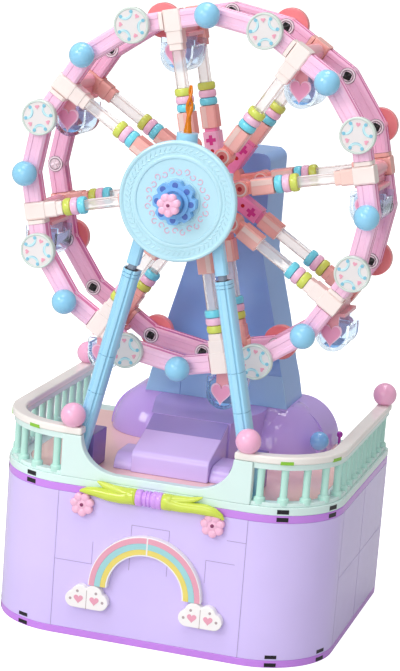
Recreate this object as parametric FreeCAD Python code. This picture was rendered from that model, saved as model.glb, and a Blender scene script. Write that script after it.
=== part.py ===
"""Hand-cranked ferris wheel toy, built as separate pieces in one frame.

Units are millimetres. The origin is the centre of the base underside, the
front of the toy faces -Y and +Z is up. Every size comes from the sheet
"sizes"; every piece is an object with its own label and placement.
"""
import math
import os

import FreeCAD
import Part

SIZES = [
    # alias, value, meaning
    ("stud", 8.0, "brick module, one stud"),
    ("brick", 9.6, "height of one brick"),
    ("plate", 3.2, "height of one plate"),
    ("half_width", 72.0, "half of the base width"),
    ("half_depth", 60.0, "half of the base depth"),
    ("corner_front", 32.0, "radius of the front corners"),
    ("corner_rear", 4.0, "radius of the rear corners"),
    ("wall", 8.0, "thickness of the base walls"),
    ("front_half", 40.0, "half of the straight front wall"),
    ("deck", 67.2, "height of the deck"),
    ("deck_ring_width", 9.0, "width of the deck edge plate"),
    ("slip", 0.05, "radial play of every running fit"),
    ("rail_height", 20.8, "top of the handrail above the deck"),
    ("rail_width", 6.0, "width of the handrail"),
    ("post_radius", 1.6, "radius of one baluster"),
    ("post_pitch", 9.2, "distance between balusters"),
    ("ball_radius", 5.15, "radius of the ornament balls"),
    ("panel", 4.0, "thickness of the gateway panel"),
    ("gate_half", 32.0, "half width of the gateway at its top"),
    ("gate_radius_x", 16.0, "width of the curved gateway flank"),
    ("gate_radius_z", 14.4, "height of the curved gateway flank"),
    ("arch_outer", 24.0, "outer radius of the rainbow"),
    ("arch_inner", 16.0, "inner radius of the rainbow"),
    ("arch_z", 24.0, "height of the rainbow centre"),
    ("step_half", 16.6, "half width of the front step"),
    ("hill_rise", 19.2, "top of the hill above the deck"),
    ("dome", 19.0, "radius of the hill domes in plan"),
    ("side_reach", 17.5, "reach of the side slopes of the hill"),
    ("tower_front", 24.0, "front face of the tower"),
    ("tower_rear", 52.0, "rear face of the tower"),
    ("head_rise", 11.6, "top of the tower head above the axle"),
    ("head_half", 16.0, "half width of the tower head"),
    ("hub_room", 6.2351, "gap between the lowest gondola and the hill"),
    ("axle_radius", 2.4, "radius of axle, rods and shafts"),
    ("rim_radius", 71.6, "radius of the rim corners"),
    ("beam", 7.4, "section of the rim beams"),
    ("front_rim", -32.8, "front face of the front rim"),
    ("rear_rim", -0.8, "front face of the rear rim"),
    ("spoke_angle", 102.5, "angle of the first spoke"),
    ("half_side", 13.0, "half angle of a long rim side"),
    ("root_end", 32.7, "radius where the clear rods start"),
    ("tee_length", 16.4, "length of one tee piece"),
    ("tile_radius", 7.3, "radius of the round tiles"),
    ("pin_radius", 1.6, "radius of the gondola pins"),
    ("bead_radius", 3.7, "outer radius of one bead ring"),
    ("bead", 3.2, "thickness of one bead ring"),
    ("cabin_half", 7.0, "half width of one gondola tub"),
    ("cabin_drop", 21.6, "depth of the tub below its pin"),
    ("leg_plane", -49.5, "middle plane of the front legs"),
    ("leg_lean", 0.225, "sideways lean of the front legs"),
    ("leg_foot", 38.5, "distance of a leg foot from the middle"),
    ("leg_half", 3.4, "half width of a front leg"),
    ("dish_radius", 24.0, "radius of the hub dish"),
    ("dish_front", -57.5, "front face of the hub dish"),
    ("gear_module", 0.75, "module of all gears"),
    ("gear_large", 24.0, "teeth of the axle gear and the idler"),
    ("gear_small", 12.0, "teeth of the crank gear"),
    ("gear_front", 40.0, "front face of all gears"),
    ("gear_width", 4.8, "width of all gears"),
    ("backlash", 0.12, "play between gear teeth"),
    ("crank_throw", 26.0, "length of the crank arm"),
]

doc = FreeCAD.newDocument("ferris_wheel")
sheet = doc.addObject("Spreadsheet::Sheet", "sizes")
for row, (alias, number, meaning) in enumerate(SIZES, start=1):
    sheet.set("A%d" % row, meaning)
    sheet.set("B%d" % row, str(number))
    sheet.setAlias("B%d" % row, alias)
doc.recompute()


def size(alias):
    """Return one size of the sheet as a plain number."""
    return float(sheet.get(alias))


STUD = size("stud")
PLATE = size("plate")
HALF_W = size("half_width")
HALF_D = size("half_depth")
DECK = size("deck")
RIM = size("rim_radius")
HALF_SIDE = size("half_side")
MIDDLE = RIM * math.cos(math.radians(HALF_SIDE))
DROP = size("cabin_drop")
HILL_TOP = DECK + size("hill_rise")
HUB = HILL_TOP + size("hub_room") + DROP + MIDDLE
SLIP = size("slip")
AXLE = size("axle_radius")
BEAM = size("beam")
HALF_BEAM = 0.5 * BEAM
FRONT_RIM = size("front_rim")
REAR_RIM = size("rear_rim")
RIM_PLANES = (FRONT_RIM, REAR_RIM)
LEG_Y = size("leg_plane")
LEG_HALF = size("leg_half")
REAR = size("tower_rear")
STEP = 45.0
COUNT = 8
X_AXIS = FreeCAD.Vector(1, 0, 0)
Y_AXIS = FreeCAD.Vector(0, 1, 0)
Z_AXIS = FreeCAD.Vector(0, 0, 1)
HUB_POINT = FreeCAD.Vector(0, 0, HUB)
LARGE = 0.5 * size("gear_module") * size("gear_large")
SMALL = 0.5 * size("gear_module") * size("gear_small")
IDLER_Z = HUB - 2 * LARGE
CRANK_Z = IDLER_Z - LARGE - SMALL


def vec(x, y, z):
    """Return a vector."""
    return FreeCAD.Vector(x, y, z)


def box(x0, x1, y0, y1, z0, z1):
    """Return a box between two corners."""
    return Part.makeBox(x1 - x0, y1 - y0, z1 - z0, vec(x0, y0, z0))


def rod(radius, x, y0, y1, z):
    """Return a cylinder that runs along Y."""
    return Part.makeCylinder(radius, y1 - y0, vec(x, y0, z), Y_AXIS)


def post(radius, x, y, z0, z1):
    """Return an upright cylinder."""
    return Part.makeCylinder(radius, z1 - z0, vec(x, y, z0), Z_AXIS)


def fused(shapes):
    """Return one solid made of touching or crossing shapes."""
    whole = shapes[0]
    if len(shapes) > 1:
        whole = whole.multiFuse(shapes[1:])
    return whole.removeSplitter()


def mirrored(shape):
    """Return the shape mirrored left to right."""
    return shape.mirror(vec(0, 0, 0), X_AXIS)


def both_sides(shape):
    """Return the shape and its mirror image in one compound."""
    return Part.makeCompound([shape, mirrored(shape)])


def prism_xz(points, y0, y1):
    """Return a prism: an outline in X and Z, pushed from y0 to y1."""
    corners = [vec(x, y0, z) for x, z in points]
    wire = Part.makePolygon(corners + corners[:1])
    return Part.Face(wire).extrude(vec(0, y1 - y0, 0))


def prism_yz(points, x0, x1):
    """Return a prism: an outline in Y and Z, pushed from x0 to x1."""
    corners = [vec(x0, y, z) for y, z in points]
    wire = Part.makePolygon(corners + corners[:1])
    return Part.Face(wire).extrude(vec(x1 - x0, 0, 0))


def arc_points(cx, cz, rx, rz, start, end, count):
    """Return points on an ellipse between two angles in degrees."""
    points = []
    for index in range(count + 1):
        angle = math.radians(start + (end - start) * index / count)
        points.append((cx + rx * math.cos(angle), cz + rz * math.sin(angle)))
    return points


def around_hub(shape, degrees):
    """Return a copy turned about the wheel axle, seen from the front."""
    turned = shape.copy()
    turned.rotate(HUB_POINT, Y_AXIS, -degrees)
    return turned


def spoke_angle(index):
    """Return the angle of one spoke in degrees."""
    return size("spoke_angle") - STEP * index


def wheel_point(radius, degrees, y):
    """Return a point of the wheel from its radius and angle."""
    angle = math.radians(degrees)
    return vec(radius * math.cos(angle), y, HUB + radius * math.sin(angle))


def plan_slab(inset, z0, z1):
    """Return a slab with the outline of the base, moved inwards by inset."""
    w = HALF_W - inset
    d = HALF_D - inset
    front = max(size("corner_front") - inset, 0.5)
    rear = max(size("corner_rear") - inset, 0.5)
    k = math.sqrt(0.5)
    fx = w - front
    fy = -d + front
    rx = w - rear
    ry = d - rear
    edges = [
        Part.makeLine(vec(-fx, -d, z0), vec(fx, -d, z0)),
        Part.Arc(vec(fx, -d, z0), vec(fx + k * front, fy - k * front, z0), vec(w, fy, z0)).toShape(),
        Part.makeLine(vec(w, fy, z0), vec(w, ry, z0)),
        Part.Arc(vec(w, ry, z0), vec(rx + k * rear, ry + k * rear, z0), vec(rx, d, z0)).toShape(),
        Part.makeLine(vec(rx, d, z0), vec(-rx, d, z0)),
        Part.Arc(vec(-rx, d, z0), vec(-rx - k * rear, ry + k * rear, z0), vec(-w, ry, z0)).toShape(),
        Part.makeLine(vec(-w, ry, z0), vec(-w, fy, z0)),
        Part.Arc(vec(-w, fy, z0), vec(-fx - k * front, fy - k * front, z0), vec(-fx, -d, z0)).toShape(),
    ]
    return Part.Face(Part.Wire(edges)).extrude(vec(0, 0, z1 - z0))


def plan_ring(outer, inner, z0, z1):
    """Return a ring that follows the outline between two insets."""
    return plan_slab(outer, z0, z1).cut(plan_slab(inner, z0 - 1, z1 + 1))


def right_part(ring, front_x, rear_y):
    """Return the right-hand run of a ring: front end, corner and side."""
    keep = box(1, HALF_W + 5, -HALF_D - 5, rear_y, -5, HUB)
    off = box(0, front_x, -HALF_D - 5, 0, -5, HUB)
    rear_run = box(0, HALF_W - RAIL_WIDTH, 0, HALF_D + 5, -5, HUB)
    return ring.common(keep).cut(off).cut(rear_run)


def rail_path(inset, start_x, end_y):
    """Return plan points, one pitch apart, along the right-hand rail."""
    front = size("corner_front") - inset
    y_line = -HALF_D + inset
    x_line = HALF_W - inset
    centre_x = HALF_W - size("corner_front")
    centre_y = -HALF_D + size("corner_front")
    straight = centre_x - start_x
    corner = 0.5 * math.pi * front
    total = straight + corner + end_y - centre_y
    steps = int(round(total / size("post_pitch")))
    points = []
    for index in range(steps + 1):
        run = total * index / steps
        if run < straight:
            points.append((start_x + run, y_line))
        elif run < straight + corner:
            angle = (run - straight) / front
            points.append((centre_x + front * math.sin(angle), centre_y - front * math.cos(angle)))
        else:
            points.append((x_line, centre_y + run - straight - corner))
    return points


def gear(teeth, bore, phase):
    """Return a spur gear with involute flanks, centred on the Y axis."""
    module = size("gear_module")
    pitch = 0.5 * module * teeth
    base = pitch * math.cos(math.radians(20))
    tip = pitch + 0.85 * module
    root = pitch - 1.2 * module
    roll_pitch = math.sqrt((pitch / base) ** 2 - 1)
    half = math.pi / (2 * teeth) - 0.5 * size("backlash") / pitch
    offset = half + roll_pitch - math.atan(roll_pitch)
    flank = []
    for index in range(6):
        radius = max(base, root) + (tip - max(base, root)) * index / 5
        roll = math.sqrt(max((radius / base) ** 2 - 1, 0))
        flank.append((radius, offset - roll + math.atan(roll)))
    flank.insert(0, (root, flank[0][1]))
    corners = []
    for tooth in range(teeth):
        middle = math.radians(phase + 360.0 * tooth / teeth)
        for radius, angle in flank:
            corners.append((radius * math.cos(middle - angle), radius * math.sin(middle - angle)))
        for radius, angle in reversed(flank):
            corners.append((radius * math.cos(middle + angle), radius * math.sin(middle + angle)))
    blank = prism_xz(corners, 0, size("gear_width"))
    return blank.cut(rod(bore, 0, -1, size("gear_width") + 1, 0))


def flower(reach, petal, thickness):
    """Return a six-petal flower that faces -Y, back face at y = 0."""
    shapes = [rod(petal, 0, -thickness, 0, 0)]
    for index in range(6):
        angle = math.radians(30 + 60 * index)
        x = (reach - petal) * math.cos(angle)
        z = (reach - petal) * math.sin(angle)
        shapes.append(rod(petal, x, -thickness, 0, z))
    return fused(shapes)


def moved(shape, x, y, z):
    """Return a copy moved to a point."""
    copy = shape.copy()
    copy.translate(vec(x, y, z))
    return copy


pieces = []


def add(label, shape, place=None):
    """Add one piece to the document and remember it for the export."""
    piece = doc.addObject("Part::Feature", label)
    piece.Label = label
    piece.Shape = shape
    if place:
        piece.Placement = place
    pieces.append(piece)
    return piece


# ---------------------------------------------------------------- base

WALL = size("wall")
WALL_TOP = DECK - 2 * PLATE
FRONT_HALF = size("front_half")
BAND_TOP = WALL_TOP + PLATE
RING = size("deck_ring_width")

front_wall = box(-FRONT_HALF, FRONT_HALF, -HALF_D, -HALF_D + WALL, PLATE, WALL_TOP)
add("base_plate", plan_slab(0, 0, PLATE))
add("wall_front", front_wall)
add("wall_shell", plan_ring(0, WALL, PLATE, WALL_TOP).cut(front_wall))
add("deck_band", plan_slab(0, WALL_TOP, BAND_TOP))
add("deck_edge", plan_ring(0, RING, BAND_TOP, DECK))
add("deck_floor", plan_slab(RING + SLIP, BAND_TOP, DECK))

# --------------------------------------------------- gateway and railing

RAIL_TOP = DECK + size("rail_height")
RAIL_LOW = RAIL_TOP - PLATE
RAIL_WIDTH = size("rail_width")
RAIL_REAR = 56.0
GATE = size("gate_half")
GATE_FLAT = GATE - size("gate_radius_x")

flank = arc_points(GATE_FLAT, RAIL_LOW, size("gate_radius_x"), size("gate_radius_z"), 0, -90, 16)
right_edge = [(FRONT_HALF, DECK), (FRONT_HALF, RAIL_LOW)] + flank
left_edge = [(-x, z) for x, z in reversed(right_edge)]
add("gateway_panel", prism_xz(right_edge + left_edge, -HALF_D, -HALF_D + size("panel")))

strip = 0.5 * (RAIL_WIDTH - size("panel"))
low_strip = right_part(plan_ring(strip, RAIL_WIDTH - strip, DECK, DECK + 1.6), FRONT_HALF, RAIL_REAR)
high_strip = right_part(plan_ring(strip, RAIL_WIDTH - strip, RAIL_LOW - 2.4, RAIL_LOW), FRONT_HALF, RAIL_REAR)
railing = [low_strip, high_strip]
for px, py in rail_path(0.5 * RAIL_WIDTH, FRONT_HALF + 3.0, RAIL_REAR - 3.0):
    railing.append(post(size("post_radius"), px, py, DECK + 1.0, RAIL_LOW - 1.0))
    railing.append(post(size("post_radius") + 0.8, px, py, DECK + 1.0, DECK + 3.2))
add("fence", both_sides(fused(railing)))

handrail = right_part(plan_ring(0, RAIL_WIDTH, RAIL_LOW, RAIL_TOP), GATE, RAIL_REAR)
add("handrail", both_sides(handrail))

BALL = size("ball_radius")
above_rail = box(-HALF_W - 9, HALF_W + 9, -HALF_D - 9, HALF_D + 9, RAIL_TOP, HUB)
rail_balls = []
for px, py in ((GATE + 4.8, -HALF_D + 2.5), (HALF_W - 3.0, RAIL_REAR - 4.0)):
    ball = Part.makeSphere(BALL, vec(px, py, RAIL_TOP + BALL - 0.8)).common(above_rail)
    rail_balls.append(ball)
    rail_balls.append(mirrored(ball))
add("rail_balls", Part.makeCompound(rail_balls))

# ------------------------------------------------ front wall ornaments

FRONT = -HALF_D
ARCH_Z = size("arch_z")

outer_arc = arc_points(0, ARCH_Z, size("arch_outer"), size("arch_outer"), 0, 180, 40)
inner_arc = arc_points(0, ARCH_Z, size("arch_inner"), size("arch_inner"), 180, 0, 32)
add("rainbow_arch", prism_xz(outer_arc + inner_arc, FRONT - PLATE, FRONT))

cloud_x = 24.2
cloud_low = 13.6
cloud_parts = [box(-5.6, 5.6, FRONT - PLATE, FRONT, 0, 5.0)]
for cx, cz, radius in ((-5.6, 3.6, 3.6), (5.6, 3.6, 3.6), (-2.8, 6.4, 3.9), (2.9, 6.2, 3.7)):
    cloud_parts.append(rod(radius, cx, FRONT - PLATE, FRONT, cz))
cloud = moved(fused(cloud_parts), cloud_x, 0, cloud_low)
add("clouds", both_sides(cloud))

knot_x = -1.0
knot_half = 5.7
collar_end = 9.6
knot_z = BAND_TOP - 0.3
vine_right = [
    (4.0, -3.0), (14.0, -2.7), (20.0, -2.8), (25.0, -2.9), (30.6, -3.9), (29.8, -1.2), (27.2, 0.7),
    (24.5, 1.6), (19.5, 1.8), (21.0, 4.4), (17.5, 3.8), (14.0, 2.8), (4.0, 3.0),
]
vine_left = [
    (-4.0, -3.0), (-17.0, -3.4), (-21.0, -2.8), (-25.5, -2.1), (-30.4, -1.2), (-28.6, 0.8),
    (-25.5, 1.5), (-21.0, 1.8), (-23.4, 4.4), (-17.5, 3.4), (-13.0, 2.9), (-4.0, 3.0),
]
bow_parts = []
for outline in (vine_right, vine_left):
    bow_parts.append(prism_xz([(x, knot_z + z) for x, z in outline], FRONT - 3.2, FRONT))
for half, deep, rise in ((collar_end, 3.8, 3.4), (knot_half, 4.4, 3.1)):
    bow_parts.append(box(knot_x - half, knot_x + half, FRONT - deep, FRONT, knot_z - rise, knot_z + rise))
for left, right in ((-5.4, -2.8), (-1.8, -0.4), (0.8, 5.2)):
    rib = box(knot_x + left, knot_x + right, FRONT - 5.0, FRONT, knot_z - 3.5, knot_z + 3.5)
    bow_parts.append(rib)
flower_spots = ((-29.2, WALL_TOP - 3.8), (26.0, WALL_TOP - 3.9))
flowers = [moved(flower(5.1, 2.2, 2.4), x, FRONT, z) for x, z in flower_spots]
around = [rod(5.4, x, FRONT - 9.0, FRONT + 1.0, z) for x, z in flower_spots]
add("bow", fused(bow_parts).cut(Part.makeCompound(around)))
add("wall_flowers", Part.makeCompound(flowers))

# -------------------------------------------------------- steps and hill

BRICK = size("brick")
STEP_TOP = DECK + BRICK
STEP_HALF = size("step_half")
STEP_FRONT = -40.0
HILL_FRONT = -13.0
TOWER_FRONT = size("tower_front")

nose = arc_points(STEP_FRONT + 3.0, STEP_TOP - 3.0, 3.0, 3.0, 180, 109, 6)
ramp = [(HILL_FRONT - 10.0, STEP_TOP + 0.5 * BRICK), (HILL_FRONT, HILL_TOP), (HILL_FRONT, DECK)]
front_step = prism_yz([(STEP_FRONT, DECK)] + nose + ramp, -STEP_HALF, STEP_HALF)
cheek = arc_points(-32.4, DECK, 6.0, 6.4, 180, 90, 8)
step_cheek = prism_yz(cheek + [(-20.0, DECK + 6.4), (-20.0, DECK)], STEP_HALF, STEP_HALF + STUD)
foot_block = box(31.0, 39.0, LEG_Y + LEG_HALF, LEG_Y + 19.5, DECK, DECK + 15.0)
add("steps", Part.makeCompound([
    front_step, step_cheek, mirrored(step_cheek), foot_block, mirrored(foot_block)]))

HILL_HALF = 32.0
DOME = size("dome")
DOME_X = 24.0
DOME_Y = 32.5
DOME_RISE = size("hill_rise") + 2.8
flat_top = math.degrees(math.asin(size("hill_rise") / DOME_RISE))
platform_plan = [
    (STEP_HALF + 0.8, HILL_FRONT), (DOME_X, DOME_Y - DOME), (DOME_X, TOWER_FRONT), (HILL_HALF, TOWER_FRONT),
    (HILL_HALF, RAIL_REAR),
]
plan_corners = [vec(x, y, DECK) for x, y in platform_plan]
plan_corners = plan_corners + [vec(-x, y, DECK) for x, y in reversed(platform_plan)]
platform = Part.Face(Part.makePolygon(plan_corners + plan_corners[:1])).extrude(vec(0, 0, HILL_TOP - DECK))
dome_curve = arc_points(DOME_X, DECK, DOME, DOME_RISE, 0, flat_top, 12) + [(DOME_X, HILL_TOP), (DOME_X, DECK)]
dome_corners = [vec(x, DOME_Y, z) for x, z in dome_curve]
dome_face = Part.Face(Part.makePolygon(dome_corners + dome_corners[:1]))
dome_right = dome_face.revolve(vec(DOME_X, DOME_Y, DECK), Z_AXIS, -90)
side_curve = arc_points(HILL_HALF, DECK, size("side_reach"), HILL_TOP - DECK, 0, 90, 14)
side_slope = prism_xz(side_curve + [(DOME_X, HILL_TOP), (DOME_X, DECK)], DOME_Y, RAIL_REAR)
hill = fused([platform, dome_right, mirrored(dome_right), side_slope, mirrored(side_slope)])
add("hill", hill)

# ----------------------------------------------------------------- tower

HEAD_HALF = size("head_half")
HEAD_TOP = HUB + size("head_rise")
flare = ((32.0, 0.0), (30.0, 9.6), (28.0, 16.6), (23.8, 35.6), (19.8, 50.6), (HEAD_HALF, 65.6))
right_side = [(x, HILL_TOP + rise) for x, rise in flare]
right_side = right_side + arc_points(HEAD_HALF - 4.0, HEAD_TOP - 4.0, 4.0, 4.0, 0, 90, 6)
left_side = [(-x, z) for x, z in reversed(right_side)]
tower = prism_xz(right_side + left_side, TOWER_FRONT, REAR)
GEAR_ROOM = LARGE + 1.4
room_front = size("gear_front") - 2.0
room_low = CRANK_Z - SMALL - 1.4
tower = tower.cut(box(-GEAR_ROOM, GEAR_ROOM, room_front, REAR + 1, room_low, HUB + GEAR_ROOM))
tower = tower.cut(rod(AXLE + SLIP, 0, TOWER_FRONT - 1, REAR, HUB))
tower = tower.cut(rod(AXLE + SLIP, 0, room_front - 6.0, REAR, CRANK_Z))
tower = fused([tower, rod(AXLE, 0, room_front - 1.0, REAR + 2.4, IDLER_Z)])
add("tower", tower)

cover = box(-12.6, 12.6, REAR, REAR + 2.4, room_low - 1.6, HUB + GEAR_ROOM + 1.0)
cover = cover.cut(rod(AXLE + SLIP, 0, REAR - 1, REAR + 4, HUB))
cover = cover.cut(rod(AXLE + SLIP, 0, REAR - 1, REAR + 4, CRANK_Z))
cover = cover.cut(rod(AXLE + SLIP, 0, REAR - 1, REAR + 4, IDLER_Z))
add("tower_cover", cover)

# -------------------------------------------------------- front supports

BEARING_LOW = HUB - 12.0
BEARING_TOP = HUB + 12.0
LEG_BACK = LEG_Y + LEG_HALF
lean = math.degrees(math.atan(size("leg_lean")))
leg_section = fused([
    post(LEG_HALF, 0, LEG_Y, -2 * STUD, HUB - DECK),
    box(-LEG_HALF, LEG_HALF, LEG_Y, LEG_BACK, -2 * STUD, HUB - DECK),
])
leg = leg_section.copy()
leg.rotate(vec(0, 0, 0), Y_AXIS, -lean)
leg = moved(leg, size("leg_foot"), 0, DECK)
leg = leg.common(box(0, HALF_W, LEG_Y - STUD, LEG_Y + STUD, DECK, BEARING_LOW))
add("front_legs", both_sides(leg))

bearing = fused([
    box(-19.0, 19.0, LEG_Y - 4.0, LEG_BACK, BEARING_LOW, BEARING_TOP),
    box(-5.0, 5.0, LEG_Y - 4.0, LEG_BACK, BEARING_TOP - 1.0, HUB + 20.0),
    post(4.25, 0, LEG_Y, HUB + 19.0, HUB + 26.4),
])
add("front_bearing", bearing.cut(rod(AXLE + SLIP, 0, LEG_Y - 9, LEG_Y + 9, HUB)))

flame_z = HUB + 26.4
flame_rings = ((0.0, 2.6), (3.0, 3.3), (7.0, 2.2), (12.0, 2.4), (16.0, 1.2), (20.6, 0.5))
flame_parts = []
for (low, radius_low), (high, radius_high) in zip(flame_rings, flame_rings[1:]):
    cone = Part.makeCone(radius_low, radius_high, high - low, vec(0, LEG_Y, flame_z + low))
    flame_parts.append(cone)
add("flame_finial", fused(flame_parts))

# ----------------------------------------------------------------- wheel

ROOT_END = size("root_end")
TEE_END = RIM + 2.4
ROD_END = TEE_END - size("tee_length")
BOSS_RING = ROOT_END - 13.7
PIN = size("pin_radius")
GEAR_Y = size("gear_front")

axle_rod = rod(AXLE, 0, size("dish_front"), REAR + 1.6, HUB)
axle_gear = moved(gear(int(size("gear_large")), AXLE, 0.0), 0, GEAR_Y, HUB)
add("wheel_axle", fused([axle_rod, axle_gear]))


def hub_piece(y0):
    """Return one hub with its eight sockets, for the rim at y0."""
    shapes = [rod(11.0, 0, y0, y0 + BEAM, HUB)]
    for index in range(COUNT):
        arm = box(0, ROOT_END, y0, y0 + BEAM, HUB - HALF_BEAM, HUB + HALF_BEAM)
        shapes.append(around_hub(arm, spoke_angle(index)))
        boss = rod(4.4, BOSS_RING, y0 - 0.6, y0 + BEAM + 0.6, HUB)
        shapes.append(around_hub(boss, spoke_angle(index)))
    whole = fused(shapes)
    for index in range(COUNT):
        hole = rod(AXLE, BOSS_RING, y0 - 1, y0 + BEAM + 1, HUB)
        whole = whole.cut(around_hub(hole, spoke_angle(index)))
    return whole.cut(rod(AXLE, 0, y0 - 1, y0 + BEAM + 1, HUB))


add("wheel_hubs", Part.makeCompound([hub_piece(y0) for y0 in RIM_PLANES]))

rods = []
tees = []
for index in range(COUNT):
    for y0 in RIM_PLANES:
        spoke = Part.makeCylinder(AXLE, ROD_END - ROOT_END, vec(ROOT_END, y0 + HALF_BEAM, HUB), X_AXIS)
        rods.append(around_hub(spoke, spoke_angle(index)))
        tee = box(ROD_END, TEE_END, y0, y0 + BEAM, HUB - HALF_BEAM, HUB + HALF_BEAM)
        tees.append(around_hub(tee, spoke_angle(index)))
    pin = rod(PIN, MIDDLE, FRONT_RIM + BEAM, REAR_RIM, HUB)
    tees.append(around_hub(pin, spoke_angle(index)))
add("spoke_rods", Part.makeCompound(rods))
add("spoke_tees", Part.makeCompound(tees))


def rim_sector(y0):
    """Return the rim piece between two tees, next to the spoke at angle 0."""
    corners = []
    for radius, degrees in ((MIDDLE, 0), (RIM, -HALF_SIDE), (RIM, HALF_SIDE - STEP), (MIDDLE, -STEP)):
        corners.append(wheel_point(radius, degrees, y0))
    shapes = []
    for start, end in zip(corners, corners[1:]):
        run = end.sub(start)
        side = vec(-run.z, 0, run.x).normalize().multiply(HALF_BEAM)
        points = [start.add(side), end.add(side), end.sub(side), start.sub(side)]
        face = Part.Face(Part.makePolygon(points + points[:1]))
        shapes.append(face.extrude(vec(0, BEAM, 0)))
    for corner in corners[1:3]:
        shapes.append(rod(HALF_BEAM, corner.x, y0, y0 + BEAM, corner.z))
    whole = fused(shapes)
    for degrees in (0, -STEP):
        tee_room = box(ROD_END - 6, TEE_END + 6, y0 - 1, y0 + BEAM + 1, HUB - HALF_BEAM, HUB + HALF_BEAM)
        whole = whole.cut(around_hub(tee_room, degrees))
    return whole


for label, y0 in (("rim_front", FRONT_RIM), ("rim_rear", REAR_RIM)):
    sector = rim_sector(y0)
    add(label, Part.makeCompound([around_hub(sector, spoke_angle(i)) for i in range(COUNT)]))

tiles = []
balls = []
discs = []
TILE = size("tile_radius")
DISC_Y = REAR_RIM + BEAM
for index in range(COUNT):
    spot = wheel_point(RIM, spoke_angle(index) + HALF_SIDE, 0)
    tiles.append(rod(TILE, spot.x, FRONT_RIM - PLATE, FRONT_RIM, spot.z))
    disc = rod(TILE, spot.x, DISC_Y, DISC_Y + PLATE, spot.z)
    cap = Part.makeCone(TILE - 0.6, TILE - 4.0, 2.4, vec(spot.x, DISC_Y + PLATE, spot.z), Y_AXIS)
    discs.append(fused([disc, cap]))
    spot = wheel_point(RIM, spoke_angle(index) - HALF_SIDE, FRONT_RIM - BALL + 0.95)
    before_rim = box(
        spot.x - TILE, spot.x + TILE, FRONT_RIM - 2 * TILE, FRONT_RIM, spot.z - TILE, spot.z + TILE)
    balls.append(Part.makeSphere(BALL, spot).common(before_rim))
add("rim_tiles", Part.makeCompound(tiles))
add("rim_balls", Part.makeCompound(balls))
add("rim_discs", Part.makeCompound(discs))

# ------------------------------------------------------------ hub dish

DISH = size("dish_radius")
DISH_FRONT = size("dish_front")
DISH_BACK = DISH_FRONT + 3.0
dish = fused([
    rod(DISH, 0, DISH_FRONT + 0.6, DISH_BACK, HUB),
    rod(DISH, 0, DISH_FRONT, DISH_BACK, HUB).cut(rod(DISH - 2.0, 0, DISH_FRONT - 1, DISH_BACK + 1, HUB)),
    rod(0.73 * DISH, 0, DISH_FRONT + 0.2, DISH_BACK, HUB),
    rod(6.0, 0, DISH_FRONT, DISH_BACK, HUB),
])
add("hub_dish", dish.cut(rod(AXLE, 0, DISH_FRONT - 1, DISH_BACK + 1, HUB)))

rosette_front = DISH_FRONT - 4.8
rosette = fused([
    rod(8.8, 0, rosette_front, DISH_FRONT, HUB),
    rod(4.0, 0, rosette_front - 4.0, DISH_FRONT, HUB),
])
for index in range(COUNT):
    spot = wheel_point(9.2, 22.5 + STEP * index, 0)
    rosette = rosette.cut(rod(1.9, spot.x, rosette_front - 1, DISH_FRONT + 1, spot.z))
add("hub_rosette", rosette)
flower_place = FreeCAD.Placement(vec(0, rosette_front - 4.0, HUB), FreeCAD.Rotation())
add("hub_flower", flower(4.7, 2.0, 3.0), flower_place)

# ---------------------------------------------------------------- beads

BEAD = size("bead")
BEADS = 3
INNER_REST = ROOT_END + 0.15
OUTER_REST = ROD_END - BEADS * BEAD - 0.15
RESTS_OUTSIDE = (3, 4, 5, 6)
for index in range(COUNT):
    rings = []
    for y0 in RIM_PLANES:
        for number in range(BEADS):
            start = vec(number * BEAD, y0 + HALF_BEAM, 0)
            ring = Part.makeCylinder(size("bead_radius"), BEAD, start, X_AXIS)
            rings.append(ring.cut(Part.makeCylinder(AXLE + SLIP, BEAD, start, X_AXIS)))
    rest = OUTER_REST if index in RESTS_OUTSIDE else INNER_REST
    angle = spoke_angle(index)
    place = FreeCAD.Placement(
        wheel_point(rest, angle, 0), FreeCAD.Rotation(Y_AXIS, -angle))
    add("beads_%d" % (index + 1), Part.makeCompound(rings), place)

# ------------------------------------------------------------- gondolas

CABIN = size("cabin_half")
END = 10.6
TUB_END = 9.2
BEND_Z = -14.5
heart_points = []
for index in range(48):
    turn = 2 * math.pi * index / 48
    heart_x = 16 * math.sin(turn) ** 3
    heart_z = 13 * math.cos(turn) - 5 * math.cos(2 * turn) - 2 * math.cos(3 * turn) - math.cos(4 * turn)
    heart_points.append((0.275 * heart_x, 0.325 * heart_z - 14.0))
hanger_parts = [
    rod(3.4, 0, -END, END, 0),
    box(-2.4, 2.4, -END, END, -7.0, 0),
    box(-5.0, 5.0, -END, END, -6.6, -5.2),
    prism_xz(heart_points, -END - 0.8, -END + 0.4),
    prism_xz(heart_points, END - 0.4, END + 0.8),
]
for end in (-1, 1):
    y0 = min(end * TUB_END, end * END)
    hanger_parts.append(box(-2.6, 2.6, y0, y0 + END - TUB_END, -13.0, -5.2))
hanger = fused(hanger_parts).cut(rod(PIN + SLIP, 0, -END - 2, END + 2, 0))
outer_bend = arc_points(0, BEND_Z, CABIN, DROP + BEND_Z, 180, 360, 24)
inner_bend = arc_points(0, BEND_Z, CABIN - 1.4, DROP + BEND_Z - 1.4, 180, 360, 24)
tub = fused([
    prism_xz([(-CABIN, -8.0)] + outer_bend + [(CABIN, -8.0)], -TUB_END, -TUB_END + 1.4),
    prism_xz([(-CABIN, -8.0)] + outer_bend + [(CABIN, -8.0)], TUB_END - 1.4, TUB_END),
    prism_xz([(-CABIN, -10.4)] + outer_bend + [(CABIN, -10.4)], -TUB_END + 1.4, TUB_END - 1.4),
])
inner = prism_xz([(1.4 - CABIN, 0)] + inner_bend + [(CABIN - 1.4, 0)], -TUB_END + 1.4, TUB_END - 1.4)
cabin = tub.cut(inner)
GONDOLA_Y = 0.5 * (FRONT_RIM + BEAM + REAR_RIM)
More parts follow.
